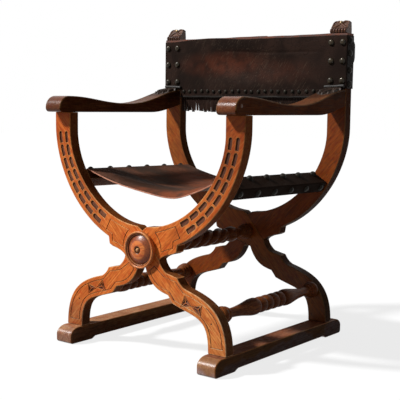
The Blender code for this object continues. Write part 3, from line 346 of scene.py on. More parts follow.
BAND_RIPPLE = (25, 20, 0.0006)  # waves in X and Z, and the height
HEM = 3  # place of the rolled edge's finish
TACK_RADIUS = 0.0058
TACK_HEIGHT = 0.0042
TACK_SHANK = (0.0010, 0.010)
TACK_STEPS = 14
TACK_PITCH = 0.0245
TACK_ROW = SKIRT + 0.0195
TACK_MARGIN = 0.012
TACK_STRAY = (0.0015, 0.0012)  # in X and in Z
FRINGE_THICKNESS = 0.0022
FRINGE_STRIP = 0.016
THONG_LENGTH = 0.045
THONG_PITCH = 0.0098
THONG_SLIT = 0.0006
THONG_WIDTH = THONG_PITCH - THONG_SLIT
THONG_ROWS = 10
THONG_CORNERS = 4  # across each thong
THONG_LENGTHS = (0.91, 1.03)
THONG_SWAY = 0.0015
THONG_TWIST = 0.4
THONG_CURL = 0.006
THONG_TAPER = 0.03
SWAY_POWER = 1.5

# Nails
NAIL_RADIUS = 0.0095
NAIL_HEIGHT = 0.006
NAIL_SHANK = (0.0016, 0.016)  # radius and length
NAIL_POINT = 0.003
NAIL_FLANGE = (0.0007, 0.0009)  # height of its edge, and of the foot of the dome
DOME_STEPS = 7
DOME_SHARE = 0.95
DOME_FULLNESS = 0.85
TALL_NAIL = 1.65  # the nails on top of the seat rails stand a little higher
BACK_NAIL_OUTER = 0.012
BACK_NAIL_INNER = 0.010
BACK_NAIL_ROWS = (0.023, 0.076, 0.132)
SIDE_NAIL_HEIGHTS = (0.876, 0.839, 0.791, 0.752)
SIDE_NAIL_PLACE = 0.0125  # behind the front face of the post
SEAT_NAILS = 6
SEAT_NAIL_INSET = 0.027
TOP_NAIL_PLACE = 0.0105
OUTER_NAIL_PLACE = 0.011

# Finials
FINIAL_TOP = POST_HEIGHT + 0.0395
FINIAL_HEIGHT = FINIAL_TOP - POST_HEIGHT
FINIAL_INSET = 0.003
FINIAL_FRONT = (  # Y behind the face of the post and height above it
    (-0.0012, 0.0040), (-0.0022, 0.0075), (-0.0018, 0.0125), (0.0016, 0.0155), (0.0045, 0.0180),
    (0.012, 0.0275),
)
FINIAL_BACK = (  # Y from the back of the post and height from the top of the finial
    (-0.0135, -0.0022), (-0.0105, -0.0004), (-0.0070, -0.0008), (-0.0038, -0.0045), (-0.0030, -0.012),
)
FINIAL_COLUMNS = 60
FINIAL_ROWS = 64
PETALS = 6
PETAL_LENGTH = 0.019  # along the section, from its front foot
PETAL_ARCH = (0.0085, 0.0105)  # middle and half length of a petal's arch
PETAL_RISE = 0.0046
LEAVES_LENGTH = 0.031
LEAVES_END = (1.3, 4)  # where the carving ends, in lengths of the leaves, and how fast
LEAVES_SLANT = 0.80
LEAVES_SHAPE = (0.115, 0.0036)  # half width and rise
BORDER_SHAPE = (0.03, 0.06, 0.0024)  # inset, half width and rise
CARVED_GROUND = 0.0016
FINIAL_TAPER = (0.08, 0.014)  # share by which it narrows, from this height
SHOULDER = (0.007, 0.0045)  # height and depth of its round shoulders
BUTTON_RADIUS = 0.0052
BUTTON_HEIGHT = 0.0042
BUTTON_SHANK = (0.001, 0.006)
BUTTON_STEPS = 16
BUTTON_PLACE = (REAR_BACK - 0.0165, FINIAL_TOP - 0.0048)
BUTTON_WAY = Vector((0.0, -0.72, 0.69))

# Places of the finishes on a sawn piece
FACE, SIDE, EDGE, CARVED = range(4)
TOP = CARVED  # arms and runners have no carving, but a dull top


# Nodes of the finishes

def new_finish(name):
    finish = bpy.data.materials.new(name)
    finish.use_nodes = True
    return finish, finish.node_tree, finish.node_tree.nodes["Principled BSDF"]


def put(tree, socket, value):
    """Gives a socket a value, or links another node's output to it."""
    if isinstance(value, bpy.types.NodeSocket):
        tree.links.new(value, socket)
    else:
        socket.default_value = value


def add_node(tree, kind, settings=None, **inputs):
    made = tree.nodes.new(kind)
    for name, value in (settings or {}).items():
        setattr(made, name, value)
    for name, value in inputs.items():
        put(tree, made.inputs[name.replace("_", " ")], value)
    return made


def maths(tree, operation, first, second=0.0, third=0.0):
    made = add_node(tree, "ShaderNodeMath", {"operation": operation})
    for socket, value in zip(made.inputs, (first, second, third)):
        put(tree, socket, value)
    return made.outputs[0]


def weighed(tree, *parts):
    """Sum of values, each with its weight."""
    total = maths(tree, "MULTIPLY", *parts[0])
    for value, weight in parts[1:]:
        total = maths(tree, "MULTIPLY_ADD", value, weight, total)
    return total


def mixed(tree, share, first, second, blend="MIX"):
    made = add_node(tree, "ShaderNodeMix", {"data_type": "RGBA", "blend_type": blend})
    for index, value in ((0, share), (6, first), (7, second)):
        put(tree, made.inputs[index], value)
    return made.outputs[2]


def ramp(tree, value, stops):
    made = add_node(tree, "ShaderNodeValToRGB", Fac=value)
    elements = made.color_ramp.elements
    while len(elements) < len(stops):
        elements.new(0.5)
    for element, (place, colour) in zip(elements, stops):
        element.position = place
        element.color = opaque(colour)
    return made.outputs["Color"]


def span(tree, value, low, high, to_low=0.0, to_high=1.0):
    """A value taken smoothly from one range to another."""
    made = add_node(
        tree, "ShaderNodeMapRange", {"interpolation_type": "SMOOTHSTEP"},
        Value=value, From_Min=low, From_Max=high, To_Min=to_low, To_Max=to_high)
    return made.outputs["Result"]


def object_place(tree):
    return add_node(tree, "ShaderNodeTexCoord").outputs["Object"]


def mapped(tree, place, **inputs):
    return add_node(tree, "ShaderNodeMapping", Vector=place, **inputs).outputs["Vector"]


def length_of(tree, place):
    return add_node(tree, "ShaderNodeVectorMath", {"operation": "LENGTH"}, Vector=place).outputs["Value"]


def grain_noise(tree, place, scale, detail, stretch=1.0, distortion=0.0):
    """Noise drawn out along the grain, which runs along the mapped X."""
    drawn = mapped(tree, place, Scale=(1.0, stretch, stretch))
    made = add_node(
        tree, "ShaderNodeTexNoise", Vector=drawn, Scale=scale, Detail=detail, Distortion=distortion)
    return made.outputs["Fac"]


def near(tree, place, centre, size, core, amount):
    """An amount at a centre and over its core, falling to nothing at an oval of the given half sizes."""
    scale = tuple(1.0 / s for s in size)
    shift = tuple(-c / s for c, s in zip(centre, size))
    local = mapped(tree, place, Scale=scale, Location=shift)
    return maths(tree, "MULTIPLY", span(tree, length_of(tree, local), core, 1.0, 1.0, 0.0), amount)


def opaque(colour, share=1.0):
    return (*[share * c for c in colour], 1.0)


def tinted(tones, shares):
    return tuple(tuple(share * c for share, c in zip(shares, tone)) for tone in tones)


def dress(tree, shader, colour, rough, height, relief, gloss):
    """Colour, roughness, bump and gloss of a finish. Relief is the bump's strength and depth."""
    strength, depth = relief
    bump = add_node(tree, "ShaderNodeBump", Height=height, Strength=strength, Distance=depth)
    put(tree, shader.inputs["Base Color"], colour)
    put(tree, shader.inputs["Roughness"], rough)
    put(tree, shader.inputs["Normal"], bump.outputs["Normal"])
    put(tree, shader.inputs["Specular IOR Level"], gloss)


def oak(name, tones, turn, roughness=(0.34, 0.58), relief=0.5, shift=(0.0, 0.0, 0.0), gloss=0.22, stains_and_shade=()):
    """Waxed oak: broad bands, streaks, fibres and open pores along the grain, with old dirt in patches.
    The last argument lists bands of colour by height, some of them stains and dust and some painted shade:
    the heights where one starts and where it is strongest, and its colour."""
    finish, tree, shader = new_finish(name)
    place = object_place(tree)
    along = mapped(tree, place, Rotation=turn, Location=shift)
    bands = grain_noise(tree, along, scale=5.0, detail=3.0, stretch=9.0, distortion=0.4)
    streaks = grain_noise(tree, along, scale=16.0, detail=5.0, stretch=17.0)
    fibres = grain_noise(tree, along, scale=24.0, detail=4.0, stretch=30.0)
    pores = span(tree, grain_noise(tree, along, scale=44.0, detail=2.0, stretch=12.0), 0.62, 0.70)
    figure = weighed(tree, (bands, 0.16), (streaks, 0.34), (fibres, 0.50))
    dark, middle, light = tones
    colour = ramp(tree, figure, ((0.37, dark), (0.50, middle), (0.63, light)))
    mottle = grain_noise(tree, along, scale=48.0, detail=6.0, stretch=2.2, distortion=0.4)
    tint = ramp(tree, mottle, (
        (0.28, (1.12, 1.24, 1.28)), (0.50, (1.0, 1.0, 1.0)), (0.70, (0.88, 0.62, 0.56)),
    ))
    colour = mixed(tree, 1.0, colour, tint, "MULTIPLY")
    dirt = grain_noise(tree, place, scale=8.0, detail=5.0)
    colour = mixed(tree, span(tree, dirt, 0.49, 0.72, 0.0, 0.65), colour, opaque(dark))
    colour = mixed(tree, maths(tree, "MULTIPLY", pores, 0.70), colour, opaque(dark, 0.35))
    ragged = 0.16  # stains and painted shade end unevenly over this height
    for start, end, stain_and_shade_colour in stains_and_shade:
        height = add_node(tree, "ShaderNodeSeparateXYZ", Vector=place).outputs["Z"]
        uneven = maths(tree, "MULTIPLY_ADD", dirt, ragged, height)
        share = span(tree, uneven, start + ragged / 2, end + ragged / 2)
        colour = mixed(tree, share, colour, opaque(stain_and_shade_colour), "MULTIPLY")
    rough = span(tree, weighed(tree, (fibres, 0.5), (dirt, 0.5)), 0.35, 0.65, *roughness)
    height = weighed(tree, (fibres, 0.7), (streaks, 0.3), (pores, -0.6))
    dress(tree, shader, colour, rough, height, (relief, 0.0008), gloss)
    return finish


SCRATCH = (0.15, 0.105, 0.07)


def hide(name, dark, brown, worn, places=(), roughness=(0.32, 0.60), gloss=0.05, painted_shade_places=(),
         scratch_turn=(0.0, 0.0, 0.9)):
    """Old leather: pebbled grain, fine cracks and scratches, places where the colour is worn, and places
    darkened as painted shade.
    """
    finish, tree, shader = new_finish(name)
    place = object_place(tree)
    cloud = grain_noise(tree, place, scale=11.0, detail=6.0, distortion=0.5)
    fine = grain_noise(tree, place, scale=900.0, detail=2.0)
    pebble = add_node(tree, "ShaderNodeTexVoronoi", Vector=place, Scale=420.0).outputs["Distance"]
    drift = add_node(tree, "ShaderNodeTexNoise", Vector=place, Scale=30.0).outputs["Color"]
    warp = mixed(tree, 0.03, place, drift)
    web = add_node(tree, "ShaderNodeTexVoronoi", {"feature": "DISTANCE_TO_EDGE"}, Vector=warp, Scale=46.0)
    crack = span(tree, web.outputs["Distance"], 0.0, 0.045, 1.0, 0.0)
    crack = maths(tree, "MULTIPLY", crack, span(tree, cloud, 0.42, 0.62))
    turned_place = mapped(tree, place, Rotation=scratch_turn)
    scratch = span(tree, grain_noise(tree, turned_place, scale=15.0, detail=3.0, stretch=48.0), 0.61, 0.68)
    scratched = span(tree, grain_noise(tree, place, scale=6.0, detail=2.0), 0.48, 0.60)
    scratch = maths(tree, "MULTIPLY", scratch, scratched)
    colour = mixed(tree, span(tree, cloud, 0.38, 0.68), opaque(dark), opaque(brown))
    rubbed = [near(tree, place, *patch) for patch in places]
    if rubbed:
        most = rubbed[0]
        for patch in rubbed[1:]:
            most = maths(tree, "MAXIMUM", most, patch)
        uneven = span(tree, grain_noise(tree, place, scale=26.0, detail=6.0), 0.30, 0.62, 0.25, 1.0)
        colour = mixed(tree, maths(tree, "MULTIPLY", most, uneven), colour, opaque(worn))
    # Painted shade: places darkened where the leather lies in shade
    for patch in painted_shade_places:
        colour = mixed(tree, near(tree, place, *patch), colour, opaque(dark, 0.3))
    colour = mixed(tree, maths(tree, "MULTIPLY", scratch, 0.3), colour, opaque(SCRATCH))
    colour = mixed(tree, maths(tree, "MULTIPLY", crack, 0.5), colour, opaque(dark, 0.4))
    rough = span(tree, weighed(tree, (cloud, 0.7), (fine, 0.3)), 0.35, 0.65, *roughness)
    height = weighed(tree, (pebble, 0.5), (fine, 0.2), (cloud, 0.9), (crack, -0.6), (scratch, -0.3))
    dress(tree, shader, colour, rough, height, (0.55, 0.0009), gloss)
    return finish


def raw_hide(name, dark, light):
    """The cut edge or flesh side of leather: matt, fibrous and mottled."""
    finish, tree, shader = new_finish(name)
    place = object_place(tree)
    cloud = grain_noise(tree, place, scale=60.0, detail=5.0)
    fibre = grain_noise(tree, place, scale=700.0, detail=3.0)
    share = span(tree, weighed(tree, (cloud, 0.7), (fibre, 0.3)), 0.35, 0.65)
    colour = mixed(tree, share, opaque(dark), opaque(light))
    dress(tree, shader, colour, span(tree, cloud, 0.3, 0.7, 0.6, 0.85), fibre, (0.4, 0.0006), 0.5)
    return finish


def old_brass(name, tones, roughness=(0.46, 0.26), metallic=0.85, gloss=0.5):
    """Brass or iron heads gone dark, with bright rubbed spots."""
    finish, tree, shader = new_finish(name)
    place = object_place(tree)
    tarnish = grain_noise(tree, place, scale=120.0, detail=4.0)
    colour = ramp(tree, tarnish, tuple(zip((0.35, 0.55, 0.75), tones)))
    dents = grain_noise(tree, place, scale=260.0, detail=2.0)
    dress(tree, shader, colour, span(tree, tarnish, 0.35, 0.7, *roughness), dents, (0.3, 0.0006), gloss)
    shader.inputs["Metallic"].default_value = metallic
    return finish


def rosette_oak(name, tones):
    """Polished oak in rings of colour: a bright inner ring and a dark dome, dark grooves and a dark ring
    round the pin that are painted shade, and a light bead and bright rim that are partly painted highlights.
    """
    finish = oak(name, tones, GRAIN_ACROSS, (0.30, 0.42), 0.3, gloss=0.3)
    tree = finish.node_tree
    shader = tree.nodes["Principled BSDF"]
    grain = shader.inputs["Base Color"].links[0].from_socket
    local = mapped(tree, object_place(tree), Location=(0.0, 0.0, -CROSS_HEIGHT), Scale=(1.0, 0.0, 1.0))
    # Colour by radius: the dark rings round the pin and in the grooves are painted shade; the light bead and
    # the bright rim are partly painted highlights
    rings = ramp(tree, maths(tree, "DIVIDE", length_of(tree, local), ROSETTE_RADIUS), (
        (0.15, (0.12, 0.09, 0.08)), (0.20, (0.40, 0.30, 0.26)), (0.25, (1.35, 1.0, 0.75)),
        (0.46, (1.30, 0.95, 0.72)), (0.54, (0.62, 0.40, 0.33)), (0.74, (0.50, 0.33, 0.29)),
        (0.80, (0.14, 0.10, 0.09)), (0.845, (0.95, 0.82, 0.72)), (0.885, (0.20, 0.14, 0.13)),
        (0.915, (1.2, 1.1, 1.0)),
    ))
    put(tree, shader.inputs["Base Color"], mixed(tree, 1.0, grain, rings, "MULTIPLY"))
    return finish


# Grain directions: turned so that the mapped X runs along the wood
GRAIN_FALLING = (0.0, math.radians(-46), 0.0)  # from the upper left to the lower right
GRAIN_RISING = (0.0, math.radians(46), 0.0)
GRAIN_BACKWARDS = (0.0, 0.0, math.radians(-90))
GRAIN_ACROSS = (0.0, 0.0, 0.0)
ARM_SHIFT = (0.2, 0.4, 0.0)
RUNNER_SHIFT = (0.5, 0.1, 0.3)
RAIL_SHIFT = (0.9, 0.2, 0.2)

# Dark, middle and light tone of each wood
OAK_TONES = ((0.350, 0.068, 0.010), (0.590, 0.134, 0.020), (0.740, 0.220, 0.046))
# The rear members are darker than the front ones, the one with its upper end on the right darkest
REAR_TONES = {
    -1: ((0.140, 0.032, 0.004), (0.290, 0.070, 0.009), (0.420, 0.115, 0.018)),
    1: ((0.074, 0.0145, 0.0014), (0.161, 0.032, 0.0033), (0.244, 0.053, 0.0065)),
}
# Rubbed edges: lighter for wear, and partly a painted highlight along the rounded edges
EDGE_TONES = ((0.42, 0.150, 0.045), (0.58, 0.240, 0.080), (0.72, 0.360, 0.150))
# Carved hollows are darker: partly old wax and dirt, and partly painted shade in the slots, grooves and chips
CARVED_TONES = ((0.078, 0.024, 0.011), (0.148, 0.048, 0.021), (0.22, 0.078, 0.034))
ARM_TONES = ((0.062, 0.0162, 0.0050), (0.128, 0.0350, 0.0094), (0.205, 0.0620, 0.0185))
RUNNER_TONES = ((0.165, 0.068, 0.026), (0.305, 0.132, 0.050), (0.43, 0.205, 0.088))
# Tops of the runners: the right one darker than the left, which is painted shade
RUNNER_TOP_TONES = {
    -1: ((0.190, 0.082, 0.040), (0.350, 0.160, 0.078), (0.490, 0.245, 0.135)),
    1: ((0.120, 0.042, 0.021), (0.225, 0.084, 0.042), (0.330, 0.135, 0.072)),
}
TURNED_TONES = ((0.050, 0.014, 0.004), (0.118, 0.033, 0.009), (0.23, 0.070, 0.019))
LEAF_TONES = ((0.012, 0.0075, 0.0055), (0.032, 0.020, 0.0145), (0.080, 0.054, 0.040))
FINIAL_TONES = ((0.030, 0.011, 0.005), (0.075, 0.027, 0.011), (0.150, 0.060, 0.025))
ROSETTE_TONES = ((0.250, 0.078, 0.021), (0.44, 0.155, 0.042), (0.56, 0.225, 0.068))
PIN_TONES = ((0.30, 0.12, 0.040), (0.46, 0.22, 0.085), (0.58, 0.31, 0.14))
PLUG_TONES = ((0.05, 0.02, 0.01), (0.09, 0.035, 0.015), (0.14, 0.06, 0.025))
FRAME_SIDE_SHADE = (0.27, 0.33, 0.50)  # shares of the tones on the sides of a piece: painted shade, which makes the sides darker than the faces
# Painted shade on the sides of the arms, the runners and the rails; less of it on the left runner than on the
# right one
ARM_SIDE_SHADE = 3 * (0.55,)
RUNNER_SIDE_SHADE = {-1: 3 * (0.56,), 1: 3 * (0.34,)}
RAIL_SIDE_SHADE = 3 * (0.8,)
ARM_TOP = (0.75, 1.0, 1.5)
TURNED_SHARE = 3 * (1.12,)
DULL = 0.012  # gloss of sides and tops, which would otherwise reflect the white studio
RUBBED = 0.04

# Stains, dust and painted shade by height: the heights where one starts and where it is strongest, and its
# colour
FOOT_STAIN = {-1: (0.16, 0.07, (0.58, 0.70, 1.1)), 1: (0.27, 0.10, (0.92, 1.28, 1.95))}
# Painted shade: the upper limbs of the front frame darker, as in the shadow under the arms
UPPER_PAINTED_SHADE = {-1: (0.50, 0.62, (0.80, 0.66, 0.50)), 1: (0.33, 0.60, (0.50, 0.43, 0.40))}
REAR_PAINTED_SHADOW = (0.34, 0.20, (0.50, 0.56, 0.62))  # painted shadow: the right rear leg is the darkest, darker towards its foot
# Painted shade: the arms darker where they rise to the heel, as in the shade of the back
HEEL_PAINTED_SHADE = (ARM_LOW + 0.044, ARM_LOW + 0.064, (0.52, 0.55, 0.60))
NOSE_HEIGHTS = (RUNNER_HEIGHT - 0.004, RUNNER_HEIGHT - 0.024)
# Runners below their tops: the right one paler and greyer, partly dust and partly a painted sheen on its
# nose; the left one darker and greyer
NOSE_TINT_AND_SHEEN = {-1: (*NOSE_HEIGHTS, (0.72, 0.68, 0.85)), 1: (*NOSE_HEIGHTS, (1.04, 1.45, 3.2))}


def sawn_finishes(word, turn, tones, shift, stains_and_shade=(), sides=FRAME_SIDE_SHADE, roughness=(0.34, 0.58), gloss=0.14):
    """Finishes of a sawn piece: its faces, its sides in painted shade, and its rubbed edges, lighter for wear
    and partly a painted highlight.
    """
    # The edge finish is lighter: wear, and partly a painted highlight
    rubbed = tinted(EDGE_TONES, 3 * (tones[1][0] / OAK_TONES[1][0],))
    return [
        oak(f"{word}_face", tones, turn, roughness, shift=shift, gloss=gloss, stains_and_shade=stains_and_shade),
        oak(f"{word}_side", tinted(tones, sides), turn, shift=shift, gloss=DULL, stains_and_shade=stains_and_shade[:1]),
        oak(f"{word}_edge", rubbed, turn, (0.30, 0.48), 0.3, shift, RUBBED, stains_and_shade),
    ]


# Wood of each member of the cross frames, by the side of its upper end. Its foot is on the other side
FRAME_WOOD = {
    ("front", -1): (
        "front_falling_oak", GRAIN_FALLING, OAK_TONES, (0.0, 0.0, 0.0), (FOOT_STAIN[1], UPPER_PAINTED_SHADE[-1])),
    ("front", 1): (
        "front_rising_oak", GRAIN_RISING, OAK_TONES, (0.7, 0.3, 0.1), (FOOT_STAIN[-1], UPPER_PAINTED_SHADE[1])),
    ("rear", -1): ("rear_falling_oak", GRAIN_FALLING, REAR_TONES[-1], (0.3, 0.9, 0.5), (REAR_PAINTED_SHADOW,)),
    ("rear", 1): ("rear_rising_oak", GRAIN_RISING, REAR_TONES[1], (0.4, 0.6, 0.8)),
}
FRAME_FINISHES = {member: sawn_finishes(*wood) for member, wood in FRAME_WOOD.items()}
RUNNER_FINISHES = {}
for side, word in SIDES.items():
    name, turn, _, shift, stains_and_shade = FRAME_WOOD["front", side]
    carved = oak(f"{name}_carved", CARVED_TONES, turn, (0.55, 0.75), 0.8, shift, stains_and_shade=stains_and_shade)
    FRAME_FINISHES["front", side].append(carved)
    RUNNER_FINISHES[side] = sawn_finishes(
        f"{word}_runner_oak", GRAIN_BACKWARDS, RUNNER_TONES, RUNNER_SHIFT, (NOSE_TINT_AND_SHEEN[side],),
        RUNNER_SIDE_SHADE[side], roughness=(0.24, 0.36), gloss=0.34)
    RUNNER_FINISHES[side].append(oak(
        f"{word}_runner_top", RUNNER_TOP_TONES[side], GRAIN_BACKWARDS, (0.5, 0.7), shift=RUNNER_SHIFT,
        gloss=DULL))
ARM_FINISHES = sawn_finishes(
    "arm_oak", GRAIN_BACKWARDS, ARM_TONES, ARM_SHIFT, (HEEL_PAINTED_SHADE,), ARM_SIDE_SHADE, roughness=(0.22, 0.34),
    gloss=0.13)
ARM_FINISHES.append(oak(
    "arm_top_oak", tinted(ARM_TONES, ARM_TOP), GRAIN_BACKWARDS, (0.34, 0.50), shift=ARM_SHIFT, gloss=0.04,
    stains_and_shade=(HEEL_PAINTED_SHADE,)))
RAIL_FINISHES = sawn_finishes("rail_oak", GRAIN_BACKWARDS, TURNED_TONES, RAIL_SHIFT, sides=RAIL_SIDE_SHADE)
TURNED_OAK = oak(
    "turned_oak", tinted(TURNED_TONES, TURNED_SHARE), GRAIN_BACKWARDS, (0.26, 0.44), 0.35, gloss=0.04)
FINIAL_OAK = oak("finial_oak", FINIAL_TONES, GRAIN_ACROSS, (0.26, 0.42), 0.3, gloss=0.22)
LEAF_OAK = oak("leaf_oak", LEAF_TONES, GRAIN_BACKWARDS, (0.34, 0.50), 0.3, gloss=0.10)
ROSETTE_OAK = rosette_oak("rosette_oak", ROSETTE_TONES)
PIN_OAK = oak("pin_oak", PIN_TONES, GRAIN_ACROSS, (0.3, 0.4), 0.3)
PLUG_OAK = oak("plug_oak", PLUG_TONES, GRAIN_ACROSS, (0.4, 0.6), 0.4)

# Worn places, and places of painted shade: centre, half sizes, share of the core and amount
SEAT_WORN = (
    ((0.13, FRONT_BACK, 0.44), (0.25, 0.050, 0.12), 0.72, 1.0),
    ((-0.05, 0.13, 0.45), (0.22, 0.17, 0.08), 0.4, 1.0),
)
# Painted shade on the seat: the hollow behind the crest of its front edge, a band along its left front, and
# the leather on the right rail
SEAT_PAINTED_SHADE = (
    ((0.05, -0.150, 0.44), (0.10, 0.040, 0.1), 0.35, 0.7),
    ((-0.10, -0.165, 0.47), (0.17, 0.07, 0.08), 0.45, 0.85),
    ((0.27, 0.0, 0.46), (0.09, 0.4, 0.08), 0.6, 1.0),
)
BACK_WORN = (
    ((-0.10, REAR_FACE, 0.815), (0.22, 0.06, 0.055), 0.1, 0.8),
    ((0.10, REAR_FACE, 0.79), (0.2, 0.06, 0.05), 0.1, 0.3),
)
# Painted shade on the leather over the outer sides of the posts
BACK_PAINTED_SHADE = tuple(
    ((x, (REAR_FACE + REAR_BACK) / 2, 0.83), (0.016, 0.06, 0.2), 0.4, 0.85) for x in (-0.346, 0.346))
SEAT_HIDE = hide(
    "seat_hide", (0.048, 0.028, 0.020), (0.135, 0.058, 0.036), (0.175, 0.052, 0.025), SEAT_WORN,
    roughness=(0.58, 0.76), gloss=0.010, painted_shade_places=SEAT_PAINTED_SHADE)
BACK_HIDE = hide(
    "back_hide", (0.0135, 0.0080, 0.0062), (0.027, 0.0145, 0.0105), (0.090, 0.026, 0.014), BACK_WORN,
    gloss=0.03, painted_shade_places=BACK_PAINTED_SHADE, scratch_turn=(0.0, 1.0, 0.0))
ROLL_HIDE = hide(
    "roll_hide", (0.014, 0.012, 0.010), (0.030, 0.026, 0.022), (0.06, 0.05, 0.04), roughness=(0.50, 0.64),
    gloss=0.2)
HEM_HIDE = hide(
    "hem_hide", (0.010, 0.008, 0.007), (0.022, 0.018, 0.015), (0.045, 0.036, 0.028), roughness=(0.55, 0.7),
    gloss=0.06)
LINING_HIDE = raw_hide("lining_hide", (0.040, 0.011, 0.006), (0.150, 0.040, 0.015))
FLESH_HIDE = raw_hide("flesh_hide", (0.060, 0.026, 0.014), (0.13, 0.062, 0.034))
CUT_HIDE = raw_hide("cut_hide", (0.36, 0.125, 0.068), (0.60, 0.270, 0.165))
DARK_CUT = raw_hide("dark_cut", (0.055, 0.024, 0.014), (0.16, 0.075, 0.042))
BRASS = old_brass(
    "old_brass", ((0.009, 0.006, 0.003), (0.026, 0.018, 0.008), (0.065, 0.045, 0.02)), roughness=(0.34, 0.20),
    metallic=0.25, gloss=0.25)
BUTTON_BRASS = old_brass("button_brass", ((0.10, 0.07, 0.035), (0.26, 0.185, 0.10), (0.48, 0.36, 0.21)))
IRON = old_brass(
    "old_iron", ((0.008, 0.007, 0.006), (0.020, 0.017, 0.013), (0.050, 0.042, 0.032)), roughness=(0.46, 0.32),
    metallic=0.1, gloss=0.05)


# Modelling by hand

def select_only(piece):
    bpy.ops.object.select_all(action="DESELECT")
    piece.select_set(True)
    bpy.context.view_layer.objects.active = piece


def edit(piece):
    select_only(piece)
    bpy.ops.object.mode_set(mode="EDIT")
    bpy.ops.mesh.select_all(action="SELECT")


def leave_edit():
    bpy.ops.object.mode_set(mode="OBJECT")


def face_outwards():
    """Turns all faces of the piece in edit mode outwards, and leaves edit mode."""
    bpy.ops.mesh.select_all(action="SELECT")
    bpy.ops.mesh.normals_make_consistent(inside=False)
    leave_edit()


def choose(piece, kind, test):
    """Selects the corners or faces of a piece that pass a test, in edit mode."""
    edit(piece)
    bpy.ops.mesh.select_mode(type=kind)
    bpy.ops.mesh.select_all(action="DESELECT")
    leave_edit()
    for part in piece.data.vertices if kind == "VERT" else piece.data.polygons:
        part.select = test(part)
    bpy.ops.object.mode_set(mode="EDIT")


def started(name, finishes, add, **size):
    """Adds a primitive with nothing else selected, names it and gives it its finishes."""
    bpy.ops.object.select_all(action="DESELECT")
    add(**size)
    piece = bpy.context.object
    piece.name = name
    piece.data.name = name
    for finish in finishes:
        piece.data.materials.append(finish)
    return piece


def copied(pattern, name):
    piece = pattern.copy()
    piece.data = pattern.data.copy()
    piece.name = name
    piece.data.name = name
    bpy.context.scene.collection.objects.link(piece)
    return piece


def apply_modifier(piece, kind, **settings):
    select_only(piece)
    modifier = piece.modifiers.new(kind.lower(), kind)
    for name, value in settings.items():
        setattr(modifier, name, value)
    bpy.ops.object.modifier_apply(modifier=modifier.name)


def bevel(piece, width, segments, angle, **settings):
    limit = math.radians(angle)
    apply_modifier(
        piece, "BEVEL", width=width, segments=segments, limit_method="ANGLE", angle_limit=limit, **settings)


def ease_edges(piece, width):
    """Rounds the sharp edges of a sawn piece, which take the rubbed finish: lighter for wear, and partly a
    painted highlight.
    """
    bevel(piece, width, segments=3, angle=48, material=EDGE)


def ease_rim(piece, width):
    """Rounds the cut edge of a sheet."""
    bevel(piece, width, segments=2, angle=60)


def thicken(piece, thickness):
    """Gives a sheet its thickness. Its second finish is for its back, the third for its cut edge."""
    apply_modifier(
        piece, "SOLIDIFY", thickness=thickness, offset=-1.0, material_offset=1, material_offset_rim=2)


def shade(piece, angle):
    select_only(piece)
    bpy.ops.object.shade_smooth_by_angle(angle=math.radians(angle))
    apply_modifier(piece, "WEIGHTED_NORMAL", keep_sharp=True)


def cut(piece, cutter):
    apply_modifier(piece, "BOOLEAN", object=cutter, operation="DIFFERENCE", solver="EXACT")
    bpy.data.objects.remove(cutter, do_unlink=True)


def in_place(piece, slot, *nodes):
    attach(piece, "root")
    if nodes:
        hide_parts(*nodes)


def done(piece, slot, *nodes, angle=38):
    """Shades a finished piece, parents it to the root body and hides the nodes that it stands for. Its slot
    is not used.
    """
    shade(piece, angle)
    in_place(piece, slot, *nodes)


def turn_to(piece, place, normal):
    """Moves a piece that was made facing -Y at the origin to a place, facing along a normal."""
    piece.matrix_world = Matrix.Translation(place) @ normal.to_track_quat("-Y", "Z").to_matrix().to_4x4()
    select_only(piece)
    bpy.ops.object.transform_apply(location=True, rotation=True, scale=True)


def board(name, outline, axis, start, thickness, finishes):
    """A board sawn to an outline. Its thickness runs along X (axis 0) or Y (axis 1)."""
    piece = started(
        name, finishes, bpy.ops.mesh.primitive_circle_add, vertices=len(outline), fill_type="NGON")
    for vertex, place in zip(piece.data.vertices, outline):
        vertex.co = (*place[:axis], start, *place[axis:])
    edit(piece)
    way = [0.0, 0.0, 0.0]
    way[axis] = thickness
    bpy.ops.mesh.extrude_region_move(TRANSFORM_OT_translate={"value": way})
    face_outwards()
    # Faces across the thickness take the face finish, all others the side finish, which is painted shade
    for polygon in piece.data.polygons:
        polygon.material_index = FACE if abs(polygon.normal[axis]) > FACE_LEAN else SIDE
    return piece


def turned(name, profile, finishes, steps=TURNING_STEPS, middle=(0.0, 0.0)):
    """A turning about an axis along Y through a middle in X and Z, where its profile starts and ends."""
    piece = started(
        name, finishes, bpy.ops.mesh.primitive_circle_add, vertices=len(profile), fill_type="NOTHING")
    x, z = middle
    for vertex, (along, radius) in zip(piece.data.vertices, profile):
        vertex.co = (x + radius, along, z)
    edit(piece)
    bpy.ops.mesh.spin(steps=steps, angle=2 * math.pi, center=(x, 0.0, z), axis=(0.0, 1.0, 0.0))
    bpy.ops.mesh.select_all(action="SELECT")
    bpy.ops.mesh.remove_doubles(threshold=0.00001)
    bpy.ops.mesh.delete_loose()
    face_outwards()
    return piece


def shaped_sheet(name, columns, rows, place, finishes):
    """A sheet of cells, each corner moved to the place given for its column and row."""
    piece = started(
        name, finishes, bpy.ops.mesh.primitive_grid_add, x_subdivisions=columns, y_subdivisions=rows,
        size=2.0)
    for vertex in piece.data.vertices:
        column = round((vertex.co.x + 1) / 2 * columns)
        row = round((vertex.co.y + 1) / 2 * rows)
        vertex.co = place(column, row)
    return piece


# Outlines

def arc(first, last, steps):
    """Sine and cosine of even steps from one angle to another."""
    turns = [first + (last - first) * step / steps for step in range(steps + 1)]
    return [(math.sin(turn), math.cos(turn)) for turn in turns]


def ripple(x, y, z, height):
    return noise.noise(Vector((x, y, z))) * height


def pulled(point, handle):
    return point[0] + handle[0], point[1] + handle[1]


def mirrored(points):
    return [(-a, b) for a, b in points]


